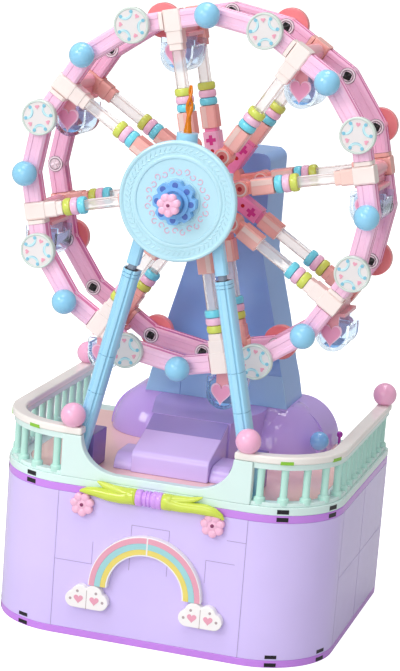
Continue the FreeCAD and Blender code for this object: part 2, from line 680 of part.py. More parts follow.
for index in range(COUNT):
    place = FreeCAD.Placement(
        wheel_point(MIDDLE, spoke_angle(index), GONDOLA_Y), FreeCAD.Rotation())
    add("gondola_hanger_%d" % (index + 1), hanger, place)
    add("gondola_cabin_%d" % (index + 1), cabin, place)

# ----------------------------------------------------- crank and gears

idler = gear(int(size("gear_large")), AXLE + SLIP, 7.5)
add("idler_gear", idler, FreeCAD.Placement(vec(0, GEAR_Y, IDLER_Z), FreeCAD.Rotation()))

ARM_FRONT = REAR + 3.4
ARM_BACK = ARM_FRONT + 4.0
THROW = size("crank_throw")
crank = fused([
    rod(AXLE, 0, room_front - 5.0, ARM_BACK, 0),
    moved(gear(int(size("gear_small")), AXLE, 90.0), 0, GEAR_Y, 0),
    rod(5.0, 0, ARM_FRONT, ARM_BACK, 0),
    box(-3.4, 3.4, ARM_FRONT, ARM_BACK, -THROW, 0),
    rod(4.4, 0, ARM_FRONT, ARM_BACK, -THROW),
    rod(1.8, 0, ARM_BACK - 1, ARM_BACK + 13.0, -THROW),
    rod(3.0, 0, ARM_BACK + 12.2, ARM_BACK + 13.4, -THROW),
])
add("crank", crank, FreeCAD.Placement(vec(0, 0, CRANK_Z), FreeCAD.Rotation()))
knob = rod(4.8, 0, 0.2, 12.0, 0).cut(rod(1.8 + SLIP, 0, -1, 13, 0))
knob_place = FreeCAD.Placement(vec(0, ARM_BACK, CRANK_Z - THROW), FreeCAD.Rotation())
add("crank_knob", knob, knob_place)

# ---------------------------------------------------- check and export

doc.recompute()
for item in doc.Objects:
    for state in item.State:
        if state in ("Invalid", "Error"):
            raise RuntimeError("%s is %s" % (item.Label, state))
for piece in pieces:
    if piece.Shape.isNull() or not piece.Shape.isValid():
        raise RuntimeError("%s has an invalid shape" % piece.Label)
os.makedirs("parts", exist_ok=True)
for piece in pieces:
    piece.Shape.exportStep("parts/%s.step" % piece.Label)
print("pieces:", len(pieces))
for piece in pieces:
    bounds = piece.Shape.BoundBox
    print("%-20s solids %2d  x %.1f %.1f  y %.1f %.1f  z %.1f %.1f" % (
        piece.Label, len(piece.Shape.Solids), bounds.XMin, bounds.XMax,
        bounds.YMin, bounds.YMax, bounds.ZMin, bounds.ZMax))
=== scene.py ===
"""Dresses the ferris wheel toy: its moulded pieces, their finishes, the studio and the camera."""

import logging
import math
from dataclasses import dataclass, field
from enum import Enum
from typing import Callable, Dict, Iterable, List, Optional, Sequence, Tuple

import bmesh
import bpy
from mathutils import Matrix, Vector


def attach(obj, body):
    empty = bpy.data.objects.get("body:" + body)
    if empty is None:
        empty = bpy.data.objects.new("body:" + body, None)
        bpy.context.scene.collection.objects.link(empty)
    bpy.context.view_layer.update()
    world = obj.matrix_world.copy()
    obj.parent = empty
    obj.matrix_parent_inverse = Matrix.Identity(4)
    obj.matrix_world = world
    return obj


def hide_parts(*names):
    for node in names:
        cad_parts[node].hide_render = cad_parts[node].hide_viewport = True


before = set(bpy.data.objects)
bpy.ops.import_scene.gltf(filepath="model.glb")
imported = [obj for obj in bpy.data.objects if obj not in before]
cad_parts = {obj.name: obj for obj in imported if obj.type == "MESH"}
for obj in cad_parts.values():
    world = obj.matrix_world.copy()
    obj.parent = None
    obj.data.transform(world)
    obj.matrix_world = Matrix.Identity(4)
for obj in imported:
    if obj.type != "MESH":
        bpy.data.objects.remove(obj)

LOG = logging.getLogger("ferris_wheel")
MM = 0.001
SHARP_ANGLE = 34.0
FLAT_ANGLE = 0.6
WELD_DISTANCE = 2e-6
WHITE_LIGHT = (1.0, 1.0, 1.0, 1.0)
PALE_GREY = (0.55, 0.55, 0.55, 1.0)
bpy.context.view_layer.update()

Point = Tuple[float, float, float]
Flat = Tuple[float, float]
ORIGIN: Point = (0.0, 0.0, 0.0)
UP: Point = (0, 0, 1)
FRONTWARD: Point = (0, -1, 0)
REARWARD: Point = (0, 1, 0)


class Tone(Enum):
    """Colours of the moulded plastic, as sRGB hex."""

    ORCHID = "CC8AEC"
    LAVENDER = "D8C7FC"
    SEAM = "A794C6"
    MINT = "DCF3EF"
    MINT_DEEP = "BFEBDF"
    FLOOR = "FCCFC8"
    CREAM = "F5EFEA"
    BALL_PINK = "F8B8D8"
    BALL_BLUE = "94D2F2"
    WHITE = "F9F5F4"
    ROD_LINE = "C0A49E"
    CLOUD_GREY = "B9A6A8"
    RAIN_PINK = "F0A6BC"
    RAIN_BLUE = "A4DADF"
    RAIN_YELLOW = "F2DD72"
    LEAF = "D0E056"
    KNOT = "D6A0F2"
    PETAL = "FBBFDD"
    PETAL_HEART = "8A3A66"
    STEP = "D9C1FB"
    # Painted shade: the darker lilac of the ramp behind the step's ridge.
    RAMP = "A293D4"
    MAGENTA = "B045B8"
    STUD_BLUE = "86BBF0"
    HILL = "C6AAF0"
    FOOT = "8468AE"
    TOWER = "8AB4EF"
    # Painted light: the paler blue of the slabs at the tower's foot.
    SKIRT = "A6D4FC"
    LEG = "A6DDF9"
    LEG_PIN = "8C97AA"
    FLAME = "F7931B"
    SALMON = "F89C94"
    CORAL = "F0807A"
    DISC = "F28E90"
    RED_HOLE = "C22632"
    ROOT_PALE = "F9B6AE"
    ROOT_STRIP = "FDD5CC"
    TEE = "FDEBE6"
    # Painted shade: the darker peach of the front tees' side faces.
    TEE_SIDE_SHADE = "F8CBC4"
    RIM = "FDCBE7"
    # Painted shade: the darker pink of the rims' side faces, and the deeper pink of the rear rim.
    RIM_SIDE_SHADE = "F68AC2"
    REAR_RIM = "FABDDD"
    REAR_RIM_SIDE_SHADE = "E070AC"
    HOLE_LINE = "6A4A5C"
    HOLE_RING = "F8E2EC"
    TILE = "F0E9E9"
    TILE_EDGE = "D6E1DA"
    SCROLL = "84C6DE"
    SCROLL_PALE = "C6ECF3"
    HOT_PINK = "E03C94"
    PINK_PART = "F98CC0"
    CYAN = "78DDF0"
    LIME = "D6E064"
    BEAD_PINK = "FAC6E0"
    DISH = "BCE5F2"
    DISH_PRINT = "EDB6CE"
    ROSETTE = "78B4EC"
    HOLLOW = "4F6FC0"
    HANGER = "F2AAB6"
    HEART = "F3A0C6"
    HEART_EDGE = "F9CCE2"
    CABIN = "E4F1FC"
    CABIN_FLOOR = "9CCBF4"
    NOTCH = "0A0410"
    NOTCH_GREEN = "8CC63A"
    GEAR = "B9BAC4"
    CRANK = "A57FD6"
    AXLE = "A2A3AC"
    BLACK = "0E0A10"


class Gloss(Enum):
    """How a moulded surface shines."""

    POLISHED = "polished"
    SHINY = "shiny"
    SATIN = "satin"
    CLEAR = "clear"
    TINTED = "tinted"
    MILKY = "milky"


# The lowest and highest roughness of each opaque gloss, and of all clear ones.
ROUGHNESS = {Gloss.POLISHED: (0.03, 0.07), Gloss.SHINY: (0.1, 0.19), Gloss.SATIN: (0.34, 0.46)}
CLEAR_ROUGHNESS = (0.05, 0.12)
# The share of light that each clear gloss lets through, and its index of refraction.
SEE_THROUGH = {Gloss.CLEAR: (0.97, 1.14), Gloss.TINTED: (0.35, 1.4), Gloss.MILKY: (0.62, 1.06)}
PLASTIC = {"IOR": 1.5, "Subsurface Weight": 0.12, "Subsurface Scale": 0.0015,
           "Subsurface Radius": (1.0, 0.75, 0.75)}


def linear(tone: Tone) -> Tuple[float, float, float, float]:
    """Return the scene-linear colour of a tone.

    Args:
        tone: The tone.

    Returns:
        Red, green, blue and alpha.
    """
    values = [int(tone.value[start:start + 2], 16) / 255.0 for start in (0, 2, 4)]
    red, green, blue = (v / 12.92 if v <= 0.04045 else ((v + 0.055) / 1.055) ** 2.4 for v in values)
    return red, green, blue, 1.0


def settle(node: bpy.types.Node, values: Dict[str, object]) -> None:
    """Set the inputs of a node by their names."""
    for name, value in values.items():
        node.inputs[name].default_value = value


def add(tree: bpy.types.NodeTree, kind: str, **values: object) -> bpy.types.Node:
    """Add a node to a tree and set inputs; an underscore stands for a space in a name.

    Args:
        tree: The node tree.
        kind: The node's type.
        values: Values of its inputs.

    Returns:
        The node.
    """
    node = tree.nodes.new(kind)
    settle(node, {name.replace("_", " "): value for name, value in values.items()})
    return node


def wire(tree: bpy.types.NodeTree, *links: Tuple[bpy.types.Node, str, bpy.types.Node, str]) -> None:
    """Link outputs to inputs, each given by its node and name."""
    for giver, output, taker, entry in links:
        tree.links.new(giver.outputs[output], taker.inputs[entry])


def placed(name: str, data: bpy.types.ID) -> bpy.types.Object:
    """Return a new object that is in the scene.

    Args:
        name: Its name.
        data: The object's data.

    Returns:
        The object.
    """
    thing = bpy.data.objects.new(name, data)
    bpy.context.scene.collection.objects.link(thing)
    return thing


def moulded_skin() -> bpy.types.NodeTree:
    """Build the faint waviness, handling marks and colour drift of moulded plastic.

    Returns:
        A group with Shade, Roughness and Height outputs.
    """
    tree = bpy.data.node_groups.new("moulded_skin", "ShaderNodeTree")
    for name, default in (("Grain", 240.0), ("Low", 0.2), ("High", 0.3)):
        socket = tree.interface.new_socket(name=name, in_out="INPUT", socket_type="NodeSocketFloat")
        socket.default_value = default
    for name in ("Shade", "Roughness", "Height"):
        tree.interface.new_socket(name=name, in_out="OUTPUT", socket_type="NodeSocketFloat")
    entry, leave = add(tree, "NodeGroupInput"), add(tree, "NodeGroupOutput")
    place = add(tree, "ShaderNodeTexCoord")
    broad = add(tree, "ShaderNodeTexNoise", Detail=2.0)
    fine = add(tree, "ShaderNodeTexNoise", Scale=60.0)
    drift = add(tree, "ShaderNodeTexNoise", Scale=25.0, Detail=3.0)
    span = add(tree, "ShaderNodeMapRange")
    shade = add(tree, "ShaderNodeMapRange", From_Min=0.3, From_Max=0.7, To_Min=0.965, To_Max=1.035)
    wire(tree, (place, "Object", drift, "Vector"), (place, "Object", broad, "Vector"),
         (place, "Object", fine, "Vector"), (entry, "Grain", broad, "Scale"), (drift, "Fac", shade, "Value"),
         (shade, "Result", leave, "Shade"), (broad, "Fac", span, "Value"), (entry, "Low", span, "To Min"),
         (entry, "High", span, "To Max"), (span, "Result", leave, "Roughness"),
         (fine, "Fac", leave, "Height"))
    return tree


@dataclass(frozen=True)
class Finish:
    """One plastic finish: a tone and how it shines."""

    tone: Tone
    gloss: Gloss = Gloss.SHINY

    def label(self) -> str:
        """Return the material's name."""
        return "%s_%s" % (self.tone.name.lower(), self.gloss.value)


class FinishShop:
    """Makes each finish once and hands it out."""

    def __init__(self) -> None:
        """Build the group that all finishes share."""
        self.skin = moulded_skin()
        self.made: Dict[Finish, bpy.types.Material] = {}

    def get(self, finish: Finish) -> bpy.types.Material:
        """Return the material of a finish, and make it at its first use.

        Args:
            finish: The finish asked for.

        Returns:
            Its material.
        """
        if finish not in self.made:
            self.made[finish] = self._make(finish)
        return self.made[finish]

    def _make(self, finish: Finish) -> bpy.types.Material:
        """Build the material of a finish.

        Args:
            finish: The finish asked for.

        Returns:
            Its material.
        """
        material = bpy.data.materials.new(finish.label())
        material.use_nodes = True
        tree = material.node_tree
        shader = tree.nodes["Principled BSDF"]
        colour = linear(finish.tone)
        material.diffuse_color = colour
        skin = tree.nodes.new("ShaderNodeGroup")
        skin.node_tree = self.skin
        low, high = ROUGHNESS.get(finish.gloss, CLEAR_ROUGHNESS)
        settle(skin, {"Low": low, "High": high})
        bump = add(tree, "ShaderNodeBump", Strength=0.05, Distance=0.0004)
        settle(shader, {"Base Color": colour})
        if finish.gloss in SEE_THROUGH:
            settle(shader, dict(zip(("Transmission Weight", "IOR"), SEE_THROUGH[finish.gloss])))
        else:
            settle(shader, PLASTIC)
            tint = add(tree, "ShaderNodeHueSaturation", Color=colour)
            wire(tree, (skin, "Shade", tint, "Value"), (tint, "Color", shader, "Base Color"))
        wire(tree, (skin, "Roughness", shader, "Roughness"), (skin, "Height", bump, "Height"),
             (bump, "Normal", shader, "Normal"))
        return material


class Mould:
    """Gathers closed shapes, in millimetres, into one mesh with several finishes."""

    def __init__(self) -> None:
        """Start empty."""
        self.points: List[Point] = []
        self.faces: List[Tuple[Sequence[int], int]] = []
        self.finishes: List[Finish] = []

    def slot_of(self, finish: Finish) -> int:
        """Return the slot number of a finish.

        Args:
            finish: The finish.

        Returns:
            The slot's number.
        """
        if finish not in self.finishes:
            self.finishes.append(finish)
        return self.finishes.index(finish)

    def shell(self, points: Iterable[Point], faces: Iterable[Sequence[int]], finish: Finish) -> None:
        """Add one closed shell.

        Args:
            points: Its corners.
            faces: Corner numbers of each face.
            finish: Its finish.
        """
        start = len(self.points)
        slot = self.slot_of(finish)
        self.points.extend(points)
        self.faces.extend(([start + i for i in face], slot) for face in faces)

    def box(self, low: Point, high: Point, finish: Finish) -> None:
        """Add a box between two corners.

        Args:
            low: The lowest corner.
            high: The highest corner.
            finish: Its finish.
        """
        corners = [(x, y, z) for x in (low[0], high[0]) for y in (low[1], high[1]) for z in (low[2], high[2])]
        quads = ((0, 1, 3, 2), (4, 6, 7, 5), (0, 4, 5, 1), (2, 3, 7, 6), (0, 2, 6, 4), (1, 5, 7, 3))
        self.shell(corners, quads, finish)

    def prism(self, outline: Sequence[Flat], y0: float, y1: float, finish: Finish) -> None:
        """Add a prism: an outline in X and Z, pushed from y0 to y1.

        Args:
            outline: Its outline in X and Z.
            y0: Y of its front.
            y1: Y of its back.
            finish: Its finish.
        """
        count = len(outline)
        points = [(x, y0, z) for x, z in outline] + [(x, y1, z) for x, z in outline]
        faces: List[Sequence[int]] = [list(range(count)), list(range(2 * count - 1, count - 1, -1))]
        for i in range(count):
            j = (i + 1) % count
            faces.append((i, i + count, j + count, j))
        self.shell(points, faces, finish)

    def lathe(self, profile: Sequence[Flat], centre: Point, axis: Point, finish: Finish,
              segments: int = 32) -> None:
        """Add a turned shape.

        Args:
            profile: Points (radius, distance along the axis); a closed ring, or
                a run whose two ends lie on the axis.
            centre: Where distance 0 lies.
            axis: Direction of the turning axis.
            finish: Its finish.
            segments: Steps around the axis.
        """
        turn = Vector(axis).to_track_quat("Z", "Y").to_matrix()
        on_axis = abs(profile[0][0]) < 1e-6 and abs(profile[-1][0]) < 1e-6
        points: List[Point] = []
        rings: List[List[int]] = []
        for radius, reach in profile:
            ring = []
            steps = 1 if radius < 1e-6 else segments
            for step in range(steps):
                angle = 2 * math.pi * step / segments
                spot = turn @ Vector((radius * math.cos(angle), radius * math.sin(angle), reach))
                ring.append(len(points))
                points.append(tuple(spot + Vector(centre)))
            rings.append(ring)
        pairs = list(zip(rings, rings[1:]))
        if not on_axis:
            pairs.append((rings[-1], rings[0]))
        faces: List[Sequence[int]] = []
        for low, high in pairs:
            for step in range(segments):
                after = (step + 1) % segments
                a, b = low[step % len(low)], low[after % len(low)]
                c, d = high[after % len(high)], high[step % len(high)]
                faces.append(list(dict.fromkeys((a, b, c, d))))
        self.shell(points, [face for face in faces if len(face) > 2], finish)

    def pin(self, radius: float, low: float, high: float, centre: Point, axis: Point, finish: Finish,
            segments: int = 20) -> None:
        """Add a plain cylinder between two distances along its axis."""
        self.lathe([(0, low), (radius, low), (radius, high), (0, high)], centre, axis, finish, segments)

    def disc(self, radius: float, y0: float, y1: float, x: float, z: float, finish: Finish,
             ease: float = 0.3, segments: int = 36) -> None:
        """Add a round disc along Y with eased edges.

        Args:
            radius: Its radius.
            y0: Y of its front.
            y1: Y of its back.
            x: X of its middle.
            z: Z of its middle.
            finish: Its finish.
            ease: Edge rounding in millimetres.
            segments: Steps around it.
        """
        deep, flat = y1 - y0, radius - ease
        profile = [(0, 0), (flat, 0), (radius, ease), (radius, deep - ease), (flat, deep), (0, deep)]
        self.lathe(profile, (x, y0, z), REARWARD, finish, segments)

    def ball(self, radius: float, centre: Point, finish: Finish, segments: int = 28) -> None:
        """Add a ball.

        Args:
            radius: Its radius.
            centre: Its middle.
            finish: Its finish.
            segments: Steps around it.
        """
        steps = segments // 2
        angles = [math.pi * step / steps for step in range(1, steps)]
        run = [(radius * math.sin(a), -radius * math.cos(a)) for a in angles]
        self.lathe([(0, -radius)] + run + [(0, radius)], centre, UP, finish, segments)

    def tube(self, path: Sequence[Point], radii: Sequence[float], finish: Finish, sides: int = 12,
             flat: Optional[Point] = None, squeeze: float = 1.0) -> None:
        """Add a tube along a path, with closed ends.

        Args:
            path: Its middle line.
            radii: Its radius at each point.
            finish: Its finish.
            sides: Faces around it.
            flat: A direction in which the tube is squeezed.
            squeeze: How far, 1 for a round tube.
        """
        line = [Vector(p) for p in path]
        points: List[Point] = []
        for index, spot in enumerate(line):
            ahead = line[min(index + 1, len(line) - 1)] - line[max(index - 1, 0)]
            side = ahead.cross(Vector(flat or (0.02, -1.0, 0.03))).normalized()
            lift = side.cross(ahead).normalized()
            for step in range(sides):
                angle = 2 * math.pi * step / sides
                away = side * math.cos(angle) + lift * (math.sin(angle) * squeeze)
                points.append(tuple(spot + away * radii[index]))
        faces: List[Sequence[int]] = []
        for index in range(len(line) - 1):
            for step in range(sides):
                after = (step + 1) % sides
                a = index * sides
                faces.append((a + step, a + after, a + sides + after, a + sides + step))
        faces.append(list(range(sides))[::-1])
        faces.append(list(range((len(line) - 1) * sides, len(line) * sides)))
        self.shell(points, faces, finish)

    def take(self, other: "Mould", place: Matrix = Matrix()) -> None:
        """Add another mould, moved by a matrix in millimetres.

        Args:
            other: The mould that is added.
            place: Where it is put.
        """
        start = len(self.points)
        self.points.extend(tuple(place @ Vector(p)) for p in other.points)
        for face, slot in other.faces:
            own = self.slot_of(other.finishes[slot])
            self.faces.append(([start + i for i in face], own))


class Workshop:
    """Turns moulds, CAD nodes and repeats into pieces that ride on a body."""

    def __init__(self) -> None:
        """Prepare the finishes and the repeat tree."""
        self.shop = FinishShop()
        self.tree = self._repeat_tree()

    def _repeat_tree(self) -> bpy.types.NodeTree:
        """Build the Geometry Nodes tree that repeats one shape on points.

        Returns:
            A tree with the inputs Shape and Finish.
        """
        tree = bpy.data.node_groups.new("repeat_on_points", "GeometryNodeTree")
        for name, way, kind in (("Geometry", "INPUT", "Geometry"), ("Shape", "INPUT", "Object"),
                                ("Finish", "INPUT", "Material"), ("Geometry", "OUTPUT", "Geometry")):
            tree.interface.new_socket(name=name, in_out=way, socket_type="NodeSocket" + kind)
        entry, leave, shape, turn, euler, place, real, paint = (add(tree, kind) for kind in (
            "NodeGroupInput", "NodeGroupOutput", "GeometryNodeObjectInfo", "GeometryNodeInputNamedAttribute",
            "FunctionNodeEulerToRotation", "GeometryNodeInstanceOnPoints", "GeometryNodeRealizeInstances",
            "GeometryNodeSetMaterial"))
        turn.data_type = "FLOAT_VECTOR"
        settle(turn, {"Name": "turn"})
        wire(tree, (entry, "Geometry", place, "Points"), (entry, "Shape", shape, "Object"),
             (shape, "Geometry", place, "Instance"), (turn, "Attribute", euler, "Euler"),
             (euler, "Rotation", place, "Rotation"), (place, "Instances", real, "Geometry"),
             (real, "Geometry", paint, "Geometry"), (entry, "Finish", paint, "Material"),
             (paint, "Geometry", leave, "Geometry"))
        return tree

    def _mesh(self, name: str, mould: Mould) -> bpy.types.Object:
        """Return a new object with the mould's mesh, in metres.

        Args:
            name: Its name.
            mould: Its shapes.

        Returns:
            The object.
        """
        mesh = bpy.data.meshes.new(name)
        points = [tuple(MM * c for c in p) for p in mould.points]
        mesh.from_pydata(points, [], [face for face, _ in mould.faces])
        for finish in mould.finishes:
            mesh.materials.append(self.shop.get(finish))
        mesh.polygons.foreach_set("material_index", [slot for _, slot in mould.faces])
        shape = bmesh.new()
        shape.from_mesh(mesh)
        bmesh.ops.recalc_face_normals(shape, faces=shape.faces)
        shape.to_mesh(mesh)
        shape.free()
        return placed(name, mesh)

    def _soften(self, thing: bpy.types.Object, ease: float, angle: float = SHARP_ANGLE) -> None:
        """Shade smooth, keep sharp edges and round them by ease millimetres.

        Args:
            thing: The object.
            ease: Edge rounding in millimetres.
            angle: Edges sharper than this, in degrees, are sharp.
        """
        mesh = thing.data
        mesh.polygons.foreach_set("use_smooth", [True] * len(mesh.polygons))
        mesh.set_sharp_from_angle(angle=math.radians(angle))
        if ease > 0:
            bevel = thing.modifiers.new("rounded_edges", "BEVEL")
            bevel.width = ease * MM
            bevel.segments = 2
            bevel.limit_method = "ANGLE"
            bevel.angle_limit = math.radians(angle)
            bevel.harden_normals = True
            bevel.use_clamp_overlap = True

    def _fit(self, thing: bpy.types.Object, body: str, nodes: Sequence[str]) -> bpy.types.Object:
        """Let a finished piece ride on its body and stand for its nodes.

        Args:
            thing: The object.
            body: The body it rides on.
            nodes: CAD nodes it stands for.

        Returns:
            The object.
        """
        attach(thing, body)
        if nodes:
            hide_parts(*nodes)
        LOG.info("piece %s on %s", thing.name, body)
        return thing

    def cast(self, name: str, mould: Mould, body: str, nodes: Sequence[str] = (),
             ease: float = 0.25, angle: float = SHARP_ANGLE) -> bpy.types.Object:
        """Make a piece from a mould.

        Args:
            name: The piece's name.
            mould: Its shapes in millimetres.
            body: The body it rides on.
            nodes: CAD nodes it stands for.
            ease: Edge rounding in millimetres, 0 for none.
            angle: Edges sharper than this are rounded.

        Returns:
            The piece.
        """
        thing = self._mesh(name, mould)
        self._soften(thing, ease, angle)
        return self._fit(thing, body, nodes)

    def polish(self, name: str, node: str, finish: Finish, body: str,
               ease: float = 0.3, pick: Optional[Callable[[Vector], Finish]] = None) -> bpy.types.Object:
        """Make a piece from a copy of a CAD node, with rounded edges.

        Args:
            name: The piece's name.
            node: The CAD node that it copies and stands for.
            finish: Its finish.
            body: The body it rides on.
            ease: Edge rounding in millimetres.
            pick: Gives the finish of a face from its middle in millimetres.

        Returns:
            The piece.
        """
        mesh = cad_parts[node].data.copy()
        mesh.name = name
        mesh.materials.clear()
        mesh.materials.append(self.shop.get(finish))
        shape = bmesh.new()
        shape.from_mesh(mesh)
        bmesh.ops.remove_doubles(shape, verts=shape.verts, dist=WELD_DISTANCE)
        bmesh.ops.dissolve_limit(shape, angle_limit=math.radians(FLAT_ANGLE), verts=shape.verts,
                                 edges=shape.edges)
        bmesh.ops.recalc_face_normals(shape, faces=shape.faces)
        order = [finish]
        for flat in shape.faces:
            own = pick(flat.calc_center_median() / MM) if pick else finish
            if own not in order:
                order.append(own)
                mesh.materials.append(self.shop.get(own))
            flat.material_index = order.index(own)
        shape.to_mesh(mesh)
        shape.free()
        thing = placed(name, mesh)
        self._soften(thing, ease)
        return self._fit(thing, body, [node])

    def repeat(self, name: str, mould: Mould, spots: Sequence[Tuple[Point, Point]], finish: Finish,
               body: str, slot: Optional[str] = None) -> bpy.types.Object:
        """Make a piece that repeats one shape with Geometry Nodes.

        Args:
            name: The piece's name.
            mould: The shape, around the origin.
            spots: Each copy's place in millimetres and its Euler turn.
            finish: The finish of all copies.
            body: The body it rides on.
            slot: Not used.

        Returns:
            The piece, a plain mesh.
        """
        shape = self._mesh(name + "_shape", mould)
        self._soften(shape, 0.0)
        seeds = bpy.data.meshes.new(name + "_spots")
        seeds.from_pydata([tuple(MM * c for c in spot) for spot, _ in spots], [], [])
        turns = seeds.attributes.new("turn", "FLOAT_VECTOR", "POINT")
        turns.data.foreach_set("vector", [c for _, turn in spots for c in turn])
        holder = placed(name + "_holder", seeds)
        modifier = holder.modifiers.new("repeat", "NODES")
        modifier.node_group = self.tree
        sockets = {item.name: item.identifier for item in self.tree.interface.items_tree
                   if item.in_out == "INPUT"}
        modifier[sockets["Shape"]] = shape
        modifier[sockets["Finish"]] = self.shop.get(finish)
        graph = bpy.context.evaluated_depsgraph_get()
        mesh = bpy.data.meshes.new_from_object(holder.evaluated_get(graph))
        mesh.name = name
        for spare in (holder, shape):
            bpy.data.objects.remove(spare)
        return self._fit(placed(name, mesh), body, ())


def arc(cx: float, cz: float, rx: float, rz: float, start: float, end: float, count: int) -> List[Flat]:
    """Return points on an ellipse between two angles in degrees."""
    angles = [math.radians(start + (end - start) * i / count) for i in range(count + 1)]
    return [(cx + rx * math.cos(a), cz + rz * math.sin(a)) for a in angles]


def heart(width: float, cx: float, cz: float, count: int) -> List[Flat]:
    """Return the outline of a heart.

    Args:
        width: Its width.
        cx: X of its middle.
        cz: Z of its middle.
        count: Its number of points.

    Returns:
        The points, in millimetres.
    """
    outline = []
    for index in range(count):
        turn = 2 * math.pi * index / count
        x = 16 * math.sin(turn) ** 3
        z = 13 * math.cos(turn) - 5 * math.cos(2 * turn) - 2 * math.cos(3 * turn) - math.cos(4 * turn)
        outline.append((cx + width * x / 32, cz + width * z / 32))
    return outline


def both_sides(mould: Mould) -> Mould:
    """Return a mould together with its mirror image.

    Args:
        mould: The shapes of the right side.

    Returns:
        The shapes, in millimetres.
    """
    both = Mould()
    both.take(mould)
    both.take(mould, Matrix.Diagonal((-1, 1, 1, 1)))
    return both


@dataclass
class Wheel:
    """Sizes of the wheel that several sub-assemblies share, in millimetres."""

    hub: float = 184.0
    rim: float = 71.6
    half_side: float = 13.0
    first: float = 102.5
    step: float = 45.0
    count: int = 8
    front: float = -32.8
    rear: float = -0.8
    beam: float = 7.4
    root_end: float = 32.7
    rod_end: float = 57.6
    tee_end: float = 74.0

    def angle(self, index: int) -> float:
        """Return the angle of a spoke in degrees."""
        return self.first - self.step * index

    def spot(self, radius: float, degrees: float, y: float) -> Point:
        """Return a point of the wheel."""
        a = math.radians(degrees)
        return radius * math.cos(a), y, self.hub + radius * math.sin(a)

    def turn(self, index: int) -> Matrix:
        """Return the matrix that puts a spoke built along +X at its angle."""
        turn = Matrix.Rotation(-math.radians(self.angle(index)), 4, "Y")
        return Matrix.Translation((0, 0, self.hub)) @ turn

    def rims(self) -> Tuple[float, float]:
        """Return the front faces of the two rims."""
        return self.front, self.rear

    def middle(self) -> float:
        """Return the radius of the middle of a long side."""
        return self.rim * math.cos(math.radians(self.half_side))


def square(half_u: float, half_v: float, cut: float) -> List[Flat]:
    """Return a rectangular section with cut corners.

    Args:
        half_u: Half its width sideways.
        half_v: Half its width along Y.
        cut: How far the corners are cut.

    Returns:
        The points, in millimetres.
    """
    u, v = half_u, half_v
    return [(-u + cut, -v), (u - cut, -v), (u, -v + cut), (u, v - cut),
            (u - cut, v), (-u + cut, v), (-u, v - cut), (-u, -v + cut)]


def grooved(half: float, cut: float, groove: float, depth: float) -> List[Flat]:
    """Return a square section with cut corners and a groove in each side.

    Args:
        half: Half its width.
        cut: How far the corners are cut.
        groove: Half the groove's width.
        depth: Depth of the groove.

    Returns:
        The points, in millimetres.
    """
    lip = groove + 0.3
    side = [(-half + cut, -half), (-lip, -half), (-groove, -half + depth),
            (groove, -half + depth), (lip, -half), (half - cut, -half)]
    section: List[Flat] = []
    for c, s in ((1, 0), (0, 1), (-1, 0), (0, -1)):
        section.extend((c * u - s * v, s * u + c * v) for u, v in side)
    return section


def bar(mould: Mould, start: Point, end: Point, section: Sequence[Flat], finish: Finish,
        side_shade: Optional[Finish] = None) -> None:
    """Add a bar between two points of one XZ plane.

    Args:
        mould: Where it goes.
        start: One end of its middle line.
        end: The other end.
        section: Outline across it: sideways, and along Y.
        finish: Its finish.
        side_shade: A darker finish for the faces that look sideways: painted shade.
    """
    along = (Vector(end) - Vector(start)).normalized()
    side = along.cross(Vector(REARWARD)).normalized()
    points: List[Point] = []
    for spot in (start, end):
        points.extend(tuple(Vector(spot) + side * u + Vector((0, v, 0))) for u, v in section)
    count = len(section)
    faces: List[Sequence[int]] = [list(range(count)), list(range(2 * count - 1, count - 1, -1))]
    faces.extend((i, (i + 1) % count, (i + 1) % count + count, i + count) for i in range(count))
    mould.shell(points, faces, finish)
    # Faces that look sideways take the darker finish as painted shade.
    if side_shade:
        slot = mould.slot_of(side_shade)
        outermost = 0.8 * max(abs(u) for u, _ in section)
        for i in range(count):
            (u0, v0), (u1, v1) = section[i], section[(i + 1) % count]
            if abs(v1 - v0) > 1.5 * abs(u1 - u0) and min(abs(u0), abs(u1)) > outermost:
                at = len(mould.faces) - count + i
                mould.faces[at] = (mould.faces[at][0], slot)


def blossom(mould: Mould, centre: Point, reach: float, petals: int, deep: float) -> None:
    """Add a flower that faces the front, its back at the centre point.

    Args:
        mould: The mould that it goes into.
        centre: The middle of its back.
        reach: Its radius.
        petals: Number of petals.
        deep: Its thickness.
    """
    x, y, z = centre
    petal = 1.06 * reach / (1 + 1 / math.sin(math.pi / petals)) * 1.12
    for index in range(petals):
        a = 2 * math.pi * index / petals + 0.3
        px, pz = x + (reach - petal) * math.cos(a), z + (reach - petal) * math.sin(a)
        mould.disc(petal, y - deep, y, px, pz, Finish(Tone.PETAL), 0.5, 18)
    mould.disc(0.5 * reach, y - deep + 0.2, y, x, z, Finish(Tone.PETAL), 0.2, 20)
    mould.disc(0.15 * reach, y - deep - 0.05, y, x, z, Finish(Tone.PETAL_HEART), 0.05, 14)


